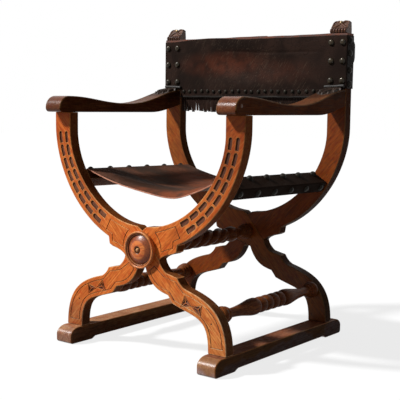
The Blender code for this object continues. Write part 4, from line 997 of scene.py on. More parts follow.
def curve(start, start_pull, end_pull, end, steps=CURVE_STEPS):
    """A curve between two places, led by the pulls of its handles."""
    corners = (start, pulled(start, start_pull), pulled(end, end_pull), end)
    places = interpolate_bezier(*[Vector((*corner, 0.0)) for corner in corners], steps)
    return [(place.x, place.y) for place in places]


def limb_edge(top, share, foot_pull, foot):
    """An edge of an upper limb on the +X side, from its bend down to the crossing."""
    return curve(top, (0.0, -share * (top[1] - foot[1])), foot_pull, foot)


def leg_edge(start, start_pull, share, foot_x):
    """An edge of a lower leg on the +X side, from its step down to the runner."""
    foot = (foot_x, RUNNER_HEIGHT + GAP)
    return curve(start, start_pull, (0.0, share * (start[1] - foot[1])), foot)


LIMB_OUTER_EDGE = limb_edge(OUTER_BEND, OUTER_BEND_PULL, LIMB_OUTER_PULL, LIMB_STEP_NOSE)
LIMB_INNER_EDGE = limb_edge(INNER_BEND, INNER_BEND_PULL, LIMB_INNER_PULL, NOTCH_MOUTH)
LEG_OUTER_EDGE = leg_edge(LEG_STEP_FOOT, LEG_OUTER_PULL, LEG_OUTER_FOOT_PULL, FOOT_HALF_SPAN)
LEG_INNER_EDGE = curve(CROTCH, CROTCH_PULL, INNER_STEP_PULL, INNER_STEP_NOSE, CROTCH_STEPS)
LEG_INNER_EDGE += leg_edge(INNER_STEP_FOOT, LEG_INNER_PULL, LEG_INNER_FOOT_PULL, FOOT_HALF_SPAN - LEG_WIDTH)
LIMB_STEP = [LIMB_STEP_FOOT] + curve(LIMB_STEP_HEEL, *UPPER_HOLLOW_PULLS, SIDE_VALLEY, HOLLOW_STEPS)
LEG_SHELF = curve(SIDE_VALLEY, *LOWER_HOLLOW_PULLS, LEG_SHELF_HEEL, HOLLOW_STEPS)
LEG_SHELF += curve(LEG_SHELF_NOSE, *SCOOP_PULLS, LEG_STEP_FOOT, HOLLOW_STEPS)[:-1]


def cross_outline(top):
    """Outline of the member that runs from the upper left to the lower right, anticlockwise."""
    outer = [(HALF_SPAN, top)] + LIMB_OUTER_EDGE + LIMB_STEP
    inner = [(INNER_SPAN, top)] + LIMB_INNER_EDGE
    leg = LEG_INNER_EDGE + (LEG_SHELF + LEG_OUTER_EDGE)[::-1]
    return mirrored(outer) + leg + [NOTCH_FLOOR] + mirrored(inner[::-1])


def side_normals(path, closed):
    """For each point of a path, the way to its right, lengthened at corners."""
    normals = []
    count = len(path)
    for index, point in enumerate(path):
        here = Vector(point)
        first = here - Vector(path[index - 1]) if closed or index else None
        second = Vector(path[(index + 1) % count]) - here if closed or index < count - 1 else None
        first = (first or second).normalized()
        second = (second or first).normalized()
        normal = Vector((first.y + second.y, -first.x - second.x)).normalized()
        share = max(normal.dot(Vector((first.y, -first.x))), MITRE_LIMIT)
        normals.append(normal / share)
    return normals


def offset(path, by, closed=False):
    """A path moved to its right."""
    return [tuple(Vector(point) + normal * by) for point, normal in zip(path, side_normals(path, closed))]


def path_lengths(path):
    lengths = [0.0]
    for before, after in zip(path, path[1:]):
        lengths.append(lengths[-1] + (Vector(after) - Vector(before)).length)
    return lengths


def walk(path, lengths, distance):
    """Place and direction at a distance along a path."""
    index = 1
    while index < len(path) - 1 and lengths[index] < distance:
        index += 1
    start = Vector(path[index - 1])
    way = (Vector(path[index]) - start).normalized()
    return start + way * (distance - lengths[index - 1]), way


def level_at(path, place):
    """Second coordinate of a path where its first one, which grows along it, reaches a place."""
    for (a0, b0), (a1, b1) in zip(path, path[1:]):
        if a0 <= place <= a1:
            return b0 + (b1 - b0) * (place - a0) / (a1 - a0)
    return path[-1][1]


# Carving

def add_pit(mesh, rings):
    """A closed hollow for cutting: rings from above the face down to the floor. The first step takes the
    rubbed edge finish, a lighter rim that is partly a painted highlight.
    """
    made = [[mesh.verts.new(place) for place in ring] for ring in rings]
    count = len(made[0])
    faces = [mesh.faces.new(made[0]), mesh.faces.new(made[-1][::-1])]
    for face in faces:
        face.material_index = CARVED
    for level, (upper, lower) in enumerate(zip(made, made[1:])):
        for index in range(count):
            after = (index + 1) % count
            face = mesh.faces.new((upper[after], upper[index], lower[index], lower[after]))
            face.material_index = EDGE if level == 0 else CARVED
            faces.append(face)
    bmesh.ops.recalc_face_normals(mesh, faces=faces)


def slot_ring(path, lengths, start, end, half, depth, side):
    """One ring of a slot: square at its lower end, round at its upper end."""
    places = [(end, half), (end, -half), ((start + end) / 2, -half)]
    for sine, cosine in arc(0.0, math.pi, SLOT_END_STEPS):
        places.append((start + half - half * sine, -half * cosine))
    places.append(((start + end) / 2, half))
    ring = []
    for distance, aside in places:
        place, way = walk(path, lengths, distance)
        point = place + Vector((way.y, -way.x)) * aside
        ring.append((side * point.x, depth, point.y))
    return ring


def add_slots(mesh, rows, side):
    """Rows of slots along the inner and the outer edge of a limb, from the top down."""
    first, last = SLOT_HALF_WIDTH
    width, depth = SLOT_RIM
    lift = 1 + SLOT_ABOVE / depth
    rim = (-SLOT_ABOVE, width * lift, SLOT_CROWN * lift)
    levels = (rim, (depth, 0.0, 0.0), (SLOT_DEPTH, -SLOT_TAPER, 0.0))
    for edge, (inset, end_x) in zip((LIMB_INNER_EDGE, LIMB_OUTER_EDGE), rows):
        line = offset(edge, inset)
        path = [(line[0][0], SLOT_TOP)] + [(x, z) for x, z in line if z < SLOT_TOP and x > end_x]
        lengths = path_lengths(path)
        pitch = (lengths[-1] + SLOT_GAP) / SLOT_COUNT
        for number in range(SLOT_COUNT):
            start = number * pitch
            end = start + pitch - SLOT_GAP
            half = first + (last - first) * number / (SLOT_COUNT - 1)
            rings = []
            for level, grow, crown in levels:
                ends = (start - grow - crown, end + grow)
                rings.append(slot_ring(path, lengths, *ends, half + grow, FRONT_FACE + level, side))
            add_pit(mesh, rings)


def add_groove(mesh, path, side):
    """A closed V groove along a path on the front face. The wall that faces the light takes the light rubbed
    finish, a painted highlight; the other wall takes the carved finish.
    """
    above = GROOVE_DEPTH / 2
    half = GROOVE_HALF_WIDTH * (GROOVE_DEPTH + above) / GROOVE_DEPTH
    sections = []
    for point, normal in zip(path, side_normals(path, True)):
        section = []
        for aside, depth in ((half, -above), (-half, -above), (0.0, GROOVE_DEPTH)):
            place = Vector(point) + normal * aside
            section.append(mesh.verts.new((side * place.x, FRONT_FACE + depth, place.y)))
        sections.append(section)
    faces = []
    for index, section in enumerate(sections):
        after = sections[(index + 1) % len(sections)]
        way = after[2].co - section[2].co
        lean = Vector((way.z, -way.x)).normalized().dot(LIT_WALL_WAY) * side
        for corner, facing in enumerate((0.0, lean, -lean)):
            beyond = (corner + 1) % 3
            face = mesh.faces.new((section[corner], section[beyond], after[beyond], after[corner]))
            face.material_index = EDGE if facing > LIT_WALL_LEAN else CARVED
            faces.append(face)
    bmesh.ops.recalc_face_normals(mesh, faces=faces)


def rosette_arc(start, end, margin):
    """Places on a circle round the middle of the rosette, between the directions of two points."""
    first, last = [math.atan2(z - CROSS_HEIGHT, x) for x, z in (start, end)]
    turns = arc(first, last, MARGIN_STEPS)
    return [(margin * cosine, CROSS_HEIGHT + margin * sine) for sine, cosine in turns]


def panel_path():
    """Outline of the panel beside the rosette on the +X side."""
    inner = rosette_arc(PANEL_INNER, (PANEL_MARGIN, CROSS_HEIGHT), PANEL_MARGIN)
    return [*PANEL_TOP, *inner, *PANEL_FOOT]


def clipped(path):
    """The stretch of a leg's line between the rosette's circle and the foot of the groove."""
    kept = []
    for before, after in zip(path, path[1:]):
        if Vector((after[0], after[1] - CROSS_HEIGHT)).length < LEG_MARGIN:
            continue
        if after[1] < LEG_GROOVE_FOOT:
            share = (before[1] - LEG_GROOVE_FOOT) / (before[1] - after[1])
            kept.append(tuple(Vector(before).lerp(Vector(after), share)))
            break
        kept.append(after)
    return kept


def leg_groove_path():
    """Line round a lower leg on the +X side."""
    shelf = [SIDE_VALLEY, LEG_SHELF_HEEL, LEG_SHELF_NOSE]
    outer = clipped(offset(shelf + LEG_OUTER_EDGE, LEG_GROOVE_INSET))
    inner = clipped(offset(LEG_INNER_EDGE, -LEG_GROOVE_INSET))
    return outer + inner[::-1] + rosette_arc(inner[0], outer[0], LEG_MARGIN)[1:-1]


def add_chip(mesh, corners, side):
    """A three-sided chip inside its outline: three pointed facets with ridges between them."""
    middle = sum(corners, Vector((0.0, 0.0))) / 3
    sunk = [middle.lerp(corner, CHIP_SHARE) for corner in corners]
    for index in range(3):
        facet = (sunk[index], sunk[(index + 1) % 3], middle)
        deepest = sum(facet, Vector((0.0, 0.0))) / 3
        rim = []
        for corner in facet:
            place = deepest.lerp(corner, FACET_SHARE * (1 + CHIP_ABOVE / CHIP_DEPTH))
            rim.append(mesh.verts.new((side * place.x, FRONT_FACE - CHIP_ABOVE, place.y)))
        point = mesh.verts.new((side * deepest.x, FRONT_FACE + CHIP_DEPTH, deepest.y))
        faces = [mesh.faces.new(rim)]
        for corner in range(3):
            faces.append(mesh.faces.new((rim[corner], rim[(corner + 1) % 3], point)))
        for face in faces:
            face.material_index = CARVED
        bmesh.ops.recalc_face_normals(mesh, faces=faces)


def add_peck(mesh, centre, side):
    """A small round hollow."""
    x, z = centre
    rings = []
    for depth, radius in PECK_RINGS:
        turns = arc(0.0, 2 * math.pi, PECK_STEPS)[:-1]
        rings.append([(side * (x + radius * c), FRONT_FACE + depth, z + radius * s) for s, c in turns])
    add_pit(mesh, rings)


def cutter_from(mesh, finishes):
    """An object to cut with, from a mesh made in code."""
    data = bpy.data.meshes.new("carving")
    mesh.to_mesh(data)
    mesh.free()
    cutter = bpy.data.objects.new("carving", data)
    bpy.context.scene.collection.objects.link(cutter)
    for finish in finishes:
        data.materials.append(finish)
    return cutter


def carve(piece, finishes):
    """Everything carved into the front frame, one kind of cut after another."""
    alike = [(add_slots, SLOT_ROWS), (add_groove, panel_path()), (add_groove, leg_groove_path())]
    alike.append((add_peck, PECK))
    cuts = [(add, dict.fromkeys(SIDES, what)) for add, what in alike]
    for chip in CHIPS:
        moved = {side: [Vector(corner) + Vector(CHIP_SHIFT[side]) for corner in chip] for side in SIDES}
        cuts += [(add_groove, moved), (add_chip, moved)]
    for add, whats in cuts:
        mesh = bmesh.new()
        for side, what in whats.items():
            add(mesh, what, side)
        cut(piece, cutter_from(mesh, finishes))


# Pieces of the frame

def make_cross_leg(place, side, face, top):
    """A member of a cross frame. Its upper end is on the given side and its foot on the other."""
    finishes = FRAME_FINISHES[place, side]
    own = [(-side * x, z) for x, z in cross_outline(top)]
    other = [(side * x, z) for x, z in offset(cross_outline(top), GAP, True)]
    piece = board(f"{place}_cross_member_{SIDES[side]}", own, 1, face, FRAME_THICKNESS, finishes)
    ease_edges(piece, EDGE_EASE)
    # The other member takes up the rear half of the left one and the front half of the right one
    start = face + FRAME_THICKNESS / 2 if side < 0 else face - FRAME_THICKNESS
    reach = FRAME_THICKNESS if side < 0 else 1.5 * FRAME_THICKNESS
    cut(piece, board("lap", other, 1, start, reach, finishes))
    if place == "front":
        carve(piece, finishes)
    done(piece, "oak", f"{place}_cross_leg_{SIDES[side]}")


def arm_outline():
    """Side outline of an arm in Y and Z, from under its nose over the top to the heel and back."""
    nose = []
    for sine, cosine in arc(0.0, math.pi / 2, NOSE_BELOW_STEPS)[:-1]:
        nose.append((ARM_FRONT + NOSE_BELOW * (1 - sine), ARM_LOW + NOSE_BELOW * (1 - cosine)))
    for sine, cosine in arc(0.0, math.pi / 2, NOSE_ABOVE_STEPS):
        height = NOSE_BELOW + (ARM_NOSE - NOSE_BELOW) * sine
        nose.append((ARM_FRONT + NOSE_LENGTH * (1 - cosine), ARM_LOW + height))
    run = ARM_WAIST[0] - nose[-1][0]
    back = ARM_HEEL_HIGH[0] - ARM_WAIST[0]
    rise = ARM_HEEL_LOW[0] - ARM_LIFT[0]
    front_top = curve(nose[-1], (ARM_NOSE_PULL * run, 0.0), (-ARM_WAIST_PULL * run, 0.0), ARM_WAIST)
    high_pull = (-ARM_HEEL_PULL * back, -ARM_HEEL_SLOPE[0])
    rear_top = curve(ARM_WAIST, (ARM_WAIST_PULL * back, 0.0), high_pull, ARM_HEEL_HIGH)
    low_pull = (-ARM_HEEL_PULL * rise, -ARM_HEEL_SLOPE[1])
    under = curve(ARM_HEEL_LOW, low_pull, (ARM_NOSE_PULL * rise, 0.0), ARM_LIFT, ARM_UNDER_STEPS)
    return nose + front_top[1:] + rear_top[1:] + under


ARM_OUTLINE = arm_outline()
ARM_TOP_LINE = ARM_OUTLINE[NOSE_BELOW_STEPS + NOSE_ABOVE_STEPS:-ARM_UNDER_STEPS]


def long_board(name, outline, side, inner, outer, finishes, ease, is_top):
    """A board along one side of the chair, with a dull top and its sides in the side finish's painted shade.
    """
    start = inner if side > 0 else -outer
    piece = board(name, outline, 0, start, outer - inner, finishes)
    for polygon in piece.data.polygons:
        if polygon.material_index == FACE:
            polygon.material_index = SIDE
        else:
            polygon.material_index = TOP if is_top(polygon) else FACE
    ease_edges(piece, ease)
    return piece


def make_arm(side):
    def is_top(polygon):
        return polygon.normal.z > ARM_TOP_LEAN and polygon.center.y > ARM_FRONT + NOSE_LENGTH

    name = f"dished_{SIDES[side]}_arm"
    piece = long_board(name, ARM_OUTLINE, side, ARM_INNER, HALF_SPAN, ARM_FINISHES, ARM_EASE, is_top)
    # Rounded edges that face downwards take the side finish, painted shade, instead of the lighter edge
    # finish
    for polygon in piece.data.polygons:
        if polygon.material_index == EDGE and polygon.normal.z < 0:
            polygon.material_index = SIDE
    done(piece, "oak", f"{SIDES[side]}_arm")


def leaf_height(x, back):
    """Height of the leaf on the heel of an arm, at an X from its middle and a distance from the post."""
    height = 0.0
    vein, vein_width = LEAF_VEIN
    for turn, length, width in LEAF_LOBES:
        along = (x * math.sin(turn) + back * math.cos(turn)) / length
        aside = x * math.cos(turn) - back * math.sin(turn)
        if 0.0 < along < 1.0:
            half = width * math.sin(math.pi * (LOBE_START + (1 - LOBE_START) * along)) ** LOBE_FULLNESS
            ridge = math.sqrt(max(0.0, 1 - (aside / half) ** 2))
            height = max(height, LEAF_RISE * ridge - vein * math.exp(-(aside / vein_width) ** 2))
    for bead_x, bead_back in LEAF_BEADS:
        reach = ((x - bead_x) ** 2 + (back - bead_back) ** 2) / LEAF_BEAD ** 2
        height = max(height, LEAF_BEAD_RISE * math.sqrt(max(0.0, 1 - reach)))
    return height


def make_leaf(side):
    """A leaf carved on the heel of an arm: lobes that spread forwards from the post, with three beads."""
    middle = side * (HALF_SPAN + ARM_INNER) / 2
    half = (HALF_SPAN - ARM_INNER) / 2 - ARM_EASE
    rise, run, roundness = LEAF_GROUND

    def place(column, row):
        x = half * (2 * column / LEAF_COLUMNS - 1)
        back = LEAF_LENGTH * (1 - row / LEAF_ROWS)
        y = LEAF_BACK - back
        brink = LEAF_LENGTH - roundness * (x / half) ** 2 - back
        ground = rise * min(1.0, max(0.0, brink / run))
        return (middle + x, y, level_at(ARM_TOP_LINE, y) + max(leaf_height(x, back), ground) - LEAF_SUNK)

    piece = shaped_sheet(f"{SIDES[side]}_arm_leaf", LEAF_COLUMNS, LEAF_ROWS, place, [LEAF_OAK])
    apply_modifier(piece, "SOLIDIFY", thickness=LEAF_THICKNESS, offset=-1.0)
    done(piece, "oak", angle=70)


def make_arm_plug(side):
    piece = turned(f"domed_{SIDES[side]}_plug", PLUG_TURNING, [PLUG_OAK], SMALL_STEPS)
    place = (side * HALF_SPAN, ARM_FRONT + ARM_NOSE / 2, ARM_LOW + ARM_NOSE / 2)
    turn_to(piece, Vector(place), Vector((side, 0.0, 0.0)))
    done(piece, "dark_oak", f"{SIDES[side]}_arm_plug")


def runner_outline():
    """Side outline of a runner in Y and Z: round ends, and a pad under each of them."""
    length, height = RUNNER_ROUND
    half = RUNNER_BACK + RUNNER_REACH
    end = []
    for sine, cosine in arc(0.0, math.pi / 2, RUNNER_UNDER_STEPS)[:-1]:
        end.append((half - RUNNER_UNDER * (1 - sine), RUNNER_UNDER * (1 - cosine)))
    for sine, cosine in arc(0.0, math.pi / 2, RUNNER_ROUND_STEPS):
        end.append((half - length * (1 - cosine), RUNNER_HEIGHT - height * (1 - sine)))
    pad = RUNNER_BACK - PAD_LENGTH
    relief = (pad - PAD_STEP[0], PAD_STEP[1])
    return [(pad, 0.0)] + end + mirrored(end[::-1]) + mirrored([(pad, 0.0), relief]) + [relief]


def make_runner(side):
    def is_top(polygon):
        return polygon.normal.z > RUNNER_TOP_LEAN

    piece = long_board(
        f"sled_{SIDES[side]}_runner", runner_outline(), side, RUNNER_INNER, FOOT_HALF_SPAN,
        RUNNER_FINISHES[side], RUNNER_EASE, is_top)
    done(piece, "oak", f"{SIDES[side]}_runner")


def rail_corner(share):
    """Inner top corner of a seat rail on the +X side, from its rear end (0) to its front end (1)."""
    upwards = [(z, x) for x, z in LIMB_INNER_EDGE[::-1]]
    heights = (SEAT_HEIGHT, SEAT_HEIGHT + RAIL_RISE)
    rear, front = [Vector((level_at(upwards, height) + RAIL_INSET, height)) for height in heights]
    return rear.lerp(front, share)


def make_seat_rail(side):
    """A tilted board between the frames, its front end a little higher than its rear end."""
    section = []
    for across, down in ((0, 0), (1, 0), (1, 1), (0, 1)):
        place = rail_corner(1) + OUTWARD * (across * RAIL_WIDTH) + DOWNWARD * (down * RAIL_DEPTH)
        section.append((side * place.x, place.y))
    length = RAIL_ENDS[0] - RAIL_ENDS[1]
    piece = board(f"tilted_{SIDES[side]}_rail", section, 1, RAIL_ENDS[1], length, RAIL_FINISHES)
    shift = rail_corner(0) - rail_corner(1)
    for vertex in piece.data.vertices:
        if vertex.co.y > 0:
            vertex.co += Vector((side * shift.x, 0.0, shift.y))
    ease_edges(piece, RAIL_EASE)
    done(piece, "dark_oak", f"{SIDES[side]}_seat_rail")


# Turned pieces

def stretcher_profile(half_middle, vase, tenon):
    """A whole stretcher from one half of its middle part, a vase, a boss and a tenon."""
    half_length = STRETCHER_LENGTH / 2
    vase_start = half_middle[-1][0]
    run = half_length - BOSS_TURNING[-1][0] - vase_start
    half = half_middle + [(vase_start + share * run, radius) for share, radius in vase]
    half += [(half_length - inset, radius) for inset, radius in reversed(BOSS_TURNING)]
    half += [(half_length, tenon[0]), (half_length + tenon[1], tenon[0]), (half_length + tenon[1], 0.0)]
    front = mirrored((along, radius) for along, radius in reversed(half) if along > 0)
    return [(STRETCHER_MIDDLE + along, radius) for along, radius in front + half]


def bead_profile():
    """Round beads with sharp grooves between them, from the middle of a stretcher outwards."""
    middle = [(0.0, BEAD_RADIUS - BEAD_GROOVE)]
    for bead in range(BEAD_COUNT // 2):
        for step in range(1, BEAD_STEPS + 1):
            share = step / BEAD_STEPS
            swell = math.sin(math.pi * share) ** BEAD_FULLNESS if step < BEAD_STEPS else 0.0
            middle.append(((bead + share) * BEAD_PITCH, BEAD_RADIUS - BEAD_GROOVE * (1 - swell)))
    return middle


def make_side_stretcher(side):
    profile = stretcher_profile(bead_profile(), SIDE_VASE, SIDE_TENON)
    middle = (side * STRETCHER_X, STRETCHER_Z)
    piece = turned(f"beaded_{SIDES[side]}_stretcher", profile, [TURNED_OAK], middle=middle)
    done(piece, "dark_oak", f"{SIDES[side]}_side_stretcher", angle=50)


def make_centre_stretcher():
    """Vases at both ends, and a rope of three strands in the middle."""
    rings = [(TWIST_HALF_LENGTH * ring / TWIST_RINGS, TWIST_RADIUS) for ring in range(TWIST_RINGS + 1)]
    profile = stretcher_profile(rings, CENTRE_VASE, CROSS_TENON)
    piece = turned("roped_centre_stretcher", profile, [TURNED_OAK], TWIST_STEPS, (0.0, CROSS_HEIGHT))
    height, fullness, groove = TWIST_LOBE
    for vertex in piece.data.vertices:
        along = vertex.co.y - STRETCHER_MIDDLE
        share = abs(along) / TWIST_HALF_LENGTH
        if share >= 1.0:
            continue
        away = Vector((vertex.co.x, vertex.co.z - CROSS_HEIGHT))
        turn = math.atan2(away.y, away.x)
        phase = TWIST_STRANDS * (turn - math.pi * TWIST_TURNS * along / TWIST_HALF_LENGTH) / 2
        lobe = height * abs(math.cos(phase)) ** fullness + groove
        away *= 1 + TWIST_DEPTH * lobe * min(1.0, (1.0 - share) * TWIST_FADE) / away.length
        vertex.co.x = away.x
        vertex.co.z = CROSS_HEIGHT + away.y
    done(piece, "dark_oak", "centre_stretcher", angle=60)


def make_rosette():
    """The rosette over the front crossing, and the pin in its middle."""
    for name, turning, finish, steps, slot, node in (
            ("ringed_rosette", ROSETTE_TURNING, ROSETTE_OAK, ROSETTE_STEPS, "polished_oak", "front_rosette"),
            ("rosette_peg", PIN_TURNING, PIN_OAK, PIN_STEPS, "dark_oak", "rosette_pin")):
        profile = [(FRONT_FACE - out, radius) for out, radius in turning]
        done(turned(name, profile, [finish], steps, (0.0, CROSS_HEIGHT)), slot, node, angle=55)


# Finials

def finial_profile():
    """Section of a finial in Y and Z, from its front foot over the top to its back foot."""
    front = [(REAR_FACE + y, POST_HEIGHT + z) for y, z in FINIAL_FRONT]
    back = [(REAR_BACK + y, FINIAL_TOP + z) for y, z in FINIAL_BACK]
    return front + back + [(REAR_BACK - FINIAL_INSET, POST_HEIGHT)]


def finial_relief(across, up):
    """Height of the carving on a finial: petals at the foot, and two crossing leaves on the slope above."""
    if up < PETAL_LENGTH:
        middle, half = PETAL_ARCH
        petal = abs(math.sin(math.pi * PETALS * across))
        arch = max(0.0, 1 - ((up - middle) / half) ** 2)
        return PETAL_RISE * math.sqrt(petal * arch) - CARVED_GROUND
    end, haste = LEAVES_END
    share = (up - PETAL_LENGTH) / LEAVES_LENGTH
    if share > end:
        return 0.0
    width, rise = LEAVES_SHAPE
    strands = 0.0
    for way in SIDES:
        line = 0.5 + way * LEAVES_SLANT * (share - 0.5)
        strands = max(strands, 1 - ((across - line) / width) ** 2)
    inset, border_width, border_rise = BORDER_SHAPE
    border = 1 - ((0.5 - abs(across - 0.5) - inset) / border_width) ** 2
    fade = min(1.0, max(0.0, (end - share) * haste))
    raised = max(rise * math.sqrt(max(0.0, strands)), border_rise * math.sqrt(max(0.0, border)))
    return fade * (raised - CARVED_GROUND)


def make_finial(side):
    """A carved block on top of a post, with a bright button."""
    profile = finial_profile()
    lengths = path_lengths(profile)
    half = (UPRIGHT_WIDTH - 2 * FINIAL_INSET) / 2
    middle = side * (HALF_SPAN - UPRIGHT_WIDTH / 2)
    taper, taper_start = FINIAL_TAPER
    round_height, round_depth = SHOULDER
    shoulder = FINIAL_TOP - round_height

    def place(column, row):
        across = column / FINIAL_COLUMNS
        up = lengths[-1] * row / FINIAL_ROWS
        point, way = walk(profile, lengths, up)
        point += Vector((-way.y, way.x)) * finial_relief(across, up)
        width = half * (1 - taper * max(0.0, point.y - POST_HEIGHT - taper_start) / FINIAL_HEIGHT)
        width -= round_depth * (max(0.0, point.y - shoulder) / round_height) ** 2
        return (middle + width * (2 * across - 1), point.x, point.y)

    piece = shaped_sheet(f"carved_{SIDES[side]}_finial", FINIAL_COLUMNS, FINIAL_ROWS, place, [FINIAL_OAK])
    close_sides(piece, FINIAL_COLUMNS, FINIAL_ROWS)
    done(piece, "oak", angle=60)
    head = nail_profile(BUTTON_RADIUS, BUTTON_HEIGHT, BUTTON_SHANK)
    button = turned(f"{SIDES[side]}_finial_button", head, [BUTTON_BRASS], BUTTON_STEPS)
    turn_to(button, Vector((middle, *BUTTON_PLACE)), BUTTON_WAY)
    done(button, "nail", angle=55)


def close_sides(piece, columns, rows):
    """Closes a sheet that was folded over a block: both ends, then its underside."""
    across = columns + 1
    left = {row * across for row in range(rows + 1)}
    right = {corner + columns for corner in left}
    underside = {end + column for end in (0, rows * across) for column in range(across)}
    for loop in (left, right, underside):
        choose(piece, "VERT", lambda vertex: vertex.index in loop)
        bpy.ops.mesh.edge_face_add()
        leave_edit()
    edit(piece)
    face_outwards()


# Leather seat

def sag_at(depth):
    """Sag of the seat at a share of its depth, smoothed between the places that are given."""
    for (start, first), (end, second) in zip(SEAT_SAG, SEAT_SAG[1:]):
        if depth <= end:
            share = (depth - start) / (end - start)
            return first + (second - first) * share * share * (3 - 2 * share)
    return SEAT_SAG[-1][1]


def sling_drop(s, depth):
    """Share of the sag across the seat, from -1 at the left rail to 1 at the right rail."""
    blend = min(1.0, depth / LOW_BLEND)
    low = LOW_PLACE[0] + (LOW_PLACE[1] - LOW_PLACE[0]) * blend
    left, right = [power + gain * blend for power, gain in zip(SLING_POWER, SLING_POWER_GAIN)]
    if s < low:
        return 1 - ((low - s) / (1 + low)) ** left
    return 1 - ((s - low) / (1 - low)) ** right


def round_corner(corner, first, last, steps):
    """Places on the seat's surface round a corner, as the direction away from it turns from first to last."""
    ways = [first.lerp(last, step / steps).normalized() for step in range(steps + 1)]
    return [corner + way * SEAT_SURFACE for way in ways]


def seat_section(share, depth):
    """Places across the outside of the seat leather in X and Z, from the left rail to the right rail."""
    corner = rail_corner(share)
    outer = corner + OUTWARD * RAIL_WIDTH
    sag = sag_at(depth)
    sling = []
    for step in range(SLING_STEPS + 1):
        s = 2 * step / SLING_STEPS - 1
        sling.append(Vector((s * corner.x, corner.y - sag * sling_drop(s, depth))))
    halves = []
    for side, inward in ((-1, sling[1] - sling[0]), (1, sling[-2] - sling[-1])):
        inward = Vector((side * inward.x, inward.y)).normalized()
        inner_normal = Vector((inward.y, -inward.x))
        inner_normal = inner_normal if inner_normal.y > 0 else -inner_normal
        half = round_corner(corner, inner_normal, -DOWNWARD, SEAT_INNER_STEPS)
        for step in range(1, SEAT_TOP_STEPS):
            across = RAIL_WIDTH * step / SEAT_TOP_STEPS
            half.append(corner + OUTWARD * across - DOWNWARD * SEAT_SURFACE)
        half += round_corner(outer, -DOWNWARD, OUTWARD, SEAT_OUTER_STEPS)
        for step in range(1, SEAT_EDGE_STEPS + 1):
            down = SEAT_EDGE_DEPTH * step / SEAT_EDGE_STEPS
            half.append(outer + DOWNWARD * down + OUTWARD * SEAT_SURFACE)
        halves.append([Vector((side * place.x, place.y)) for place in half])
    raised = []
    for before, here, after in zip(sling, sling[1:], sling[2:]):
        way = (after - before).normalized()
        raised.append(here + Vector((-way.y, way.x)) * SEAT_SURFACE)
    return halves[0][::-1] + raised + halves[1]


def make_seat():
    """The sling seat: it wraps both rails, sags between them and droops along its front edge."""
    front = FRONT_BACK + SEAT_MARGIN
    back = REAR_FACE - SEAT_MARGIN
    sections = []
    for row in range(SEAT_ROWS + 1):
        depth = (row / SEAT_ROWS) ** SEAT_ROW_POWER
        y = front + (back - front) * depth
        share = (RAIL_ENDS[0] - y) / (RAIL_ENDS[0] - RAIL_ENDS[1])
        sections.append((y, seat_section(share, depth)))
    columns = len(sections[0][1]) - 1
    half = rail_corner(0.5).x
    edge_x, edge_y, edge_seed, edge_height = SEAT_EDGE_RIPPLE

    def place(column, row):
        y, section = sections[row]
        x, z = section[column]
        free = max(0.0, 1 - (x / half) ** 2)
        rise = sum(ripple(x * waves, y * waves, seed, height) for waves, seed, height in SEAT_RIPPLES)
        wander = ripple(x * edge_x, y * edge_y, edge_seed, edge_height) if row == 0 else 0.0
        return (x, y + wander, z + free * rise)

    piece = shaped_sheet("sling_seat", columns, SEAT_ROWS, place, [SEAT_HIDE, FLESH_HIDE, CUT_HIDE])
    thicken(piece, SEAT_LEATHER - SEAT_CUT)
    ease_rim(piece, SEAT_EASE)
    done(piece, "seat_leather", "seat_leather", angle=50)
    width = path_lengths(sections[SEAT_ROWS // 2][1])[-1]


# Leather back

def belly(x, z):
    """How far the back leather bows backwards between the posts."""
    rise = (z - POST_FOOT) / (POST_HEIGHT - POST_FOOT)
    if abs(x) >= FREE_END or rise <= 0.0:
        return 0.0
    return BACK_BELLY * math.cos(math.pi * x / (2 * FREE_END)) ** 2 * math.sin(math.pi * min(rise, 1.0)) ** 2


def back_columns(top):
    """Plan of the back leather from the middle to the right: base point, normal, lowest and highest place."""
    columns = []
    ahead = Vector((0.0, -1.0))
    for step in range(BACK_STEPS + 1):
        columns.append((Vector((SKIRT_END * step / BACK_STEPS, REAR_FACE)), ahead, SKIRT, top))
    for step in range(POST_STEPS):
        x = ARM_INNER - GAP + (HALF_SPAN - ARM_INNER) * step / POST_STEPS
        columns.append((Vector((x, REAR_FACE)), ahead, POST_FOOT, top))
    corner = Vector((HALF_SPAN, REAR_FACE))
    for step in range(WRAP_STEPS + 1):
        turn = step / WRAP_STEPS
        columns.append((corner, Vector((turn, turn - 1.0)).normalized(), POST_FOOT, top))
    outward = Vector((1.0, 0.0))
    for step in range(1, POST_SIDE_STEPS + 1):
        y = REAR_FACE + FRAME_THICKNESS * step / POST_SIDE_STEPS
        columns.append((Vector((HALF_SPAN, y)), outward, POST_FOOT, top))
    for step in range(FLAP_STEPS + 1):
        share = step / FLAP_STEPS
        tip = Vector((HALF_SPAN - FLAP_LIP * share, REAR_BACK + FLAP_LIP + (FLAP_REACH - FLAP_LIP) * share))
        low = FLAP_LOW + FLAP_CORNERS[0] * share ** 2
        columns.append((tip, outward, low, FLAP_TOP - FLAP_CORNERS[1] * share ** 2))
    return columns


def crease_at(x, z):
    """Depth of the crease across the face leather."""
    (x0, z0), (x1, z1) = CREASE
    share = (x - x0) / (x1 - x0)
    sway, waves = CREASE_SWAY
    line = z0 + (z1 - z0) * share + sway * math.sin(waves * share)
    fade = max(0.0, min(1.0, CREASE_FADE * share, CREASE_FADE * (1 - share)))
    return fade * CREASE_DEPTH * math.exp(-((z - line) / CREASE_WIDTH) ** 2)


def top_rise(x, worked):
    """How much higher than elsewhere the top edge of the face leather or of the lining stands."""
    if worked:
        rise, middle, half = FACE_LIFT
        return rise * math.exp(-((x - middle) / half) ** 4)
    rise, end = LINING_STEP
    return rise if x < end else 0.0


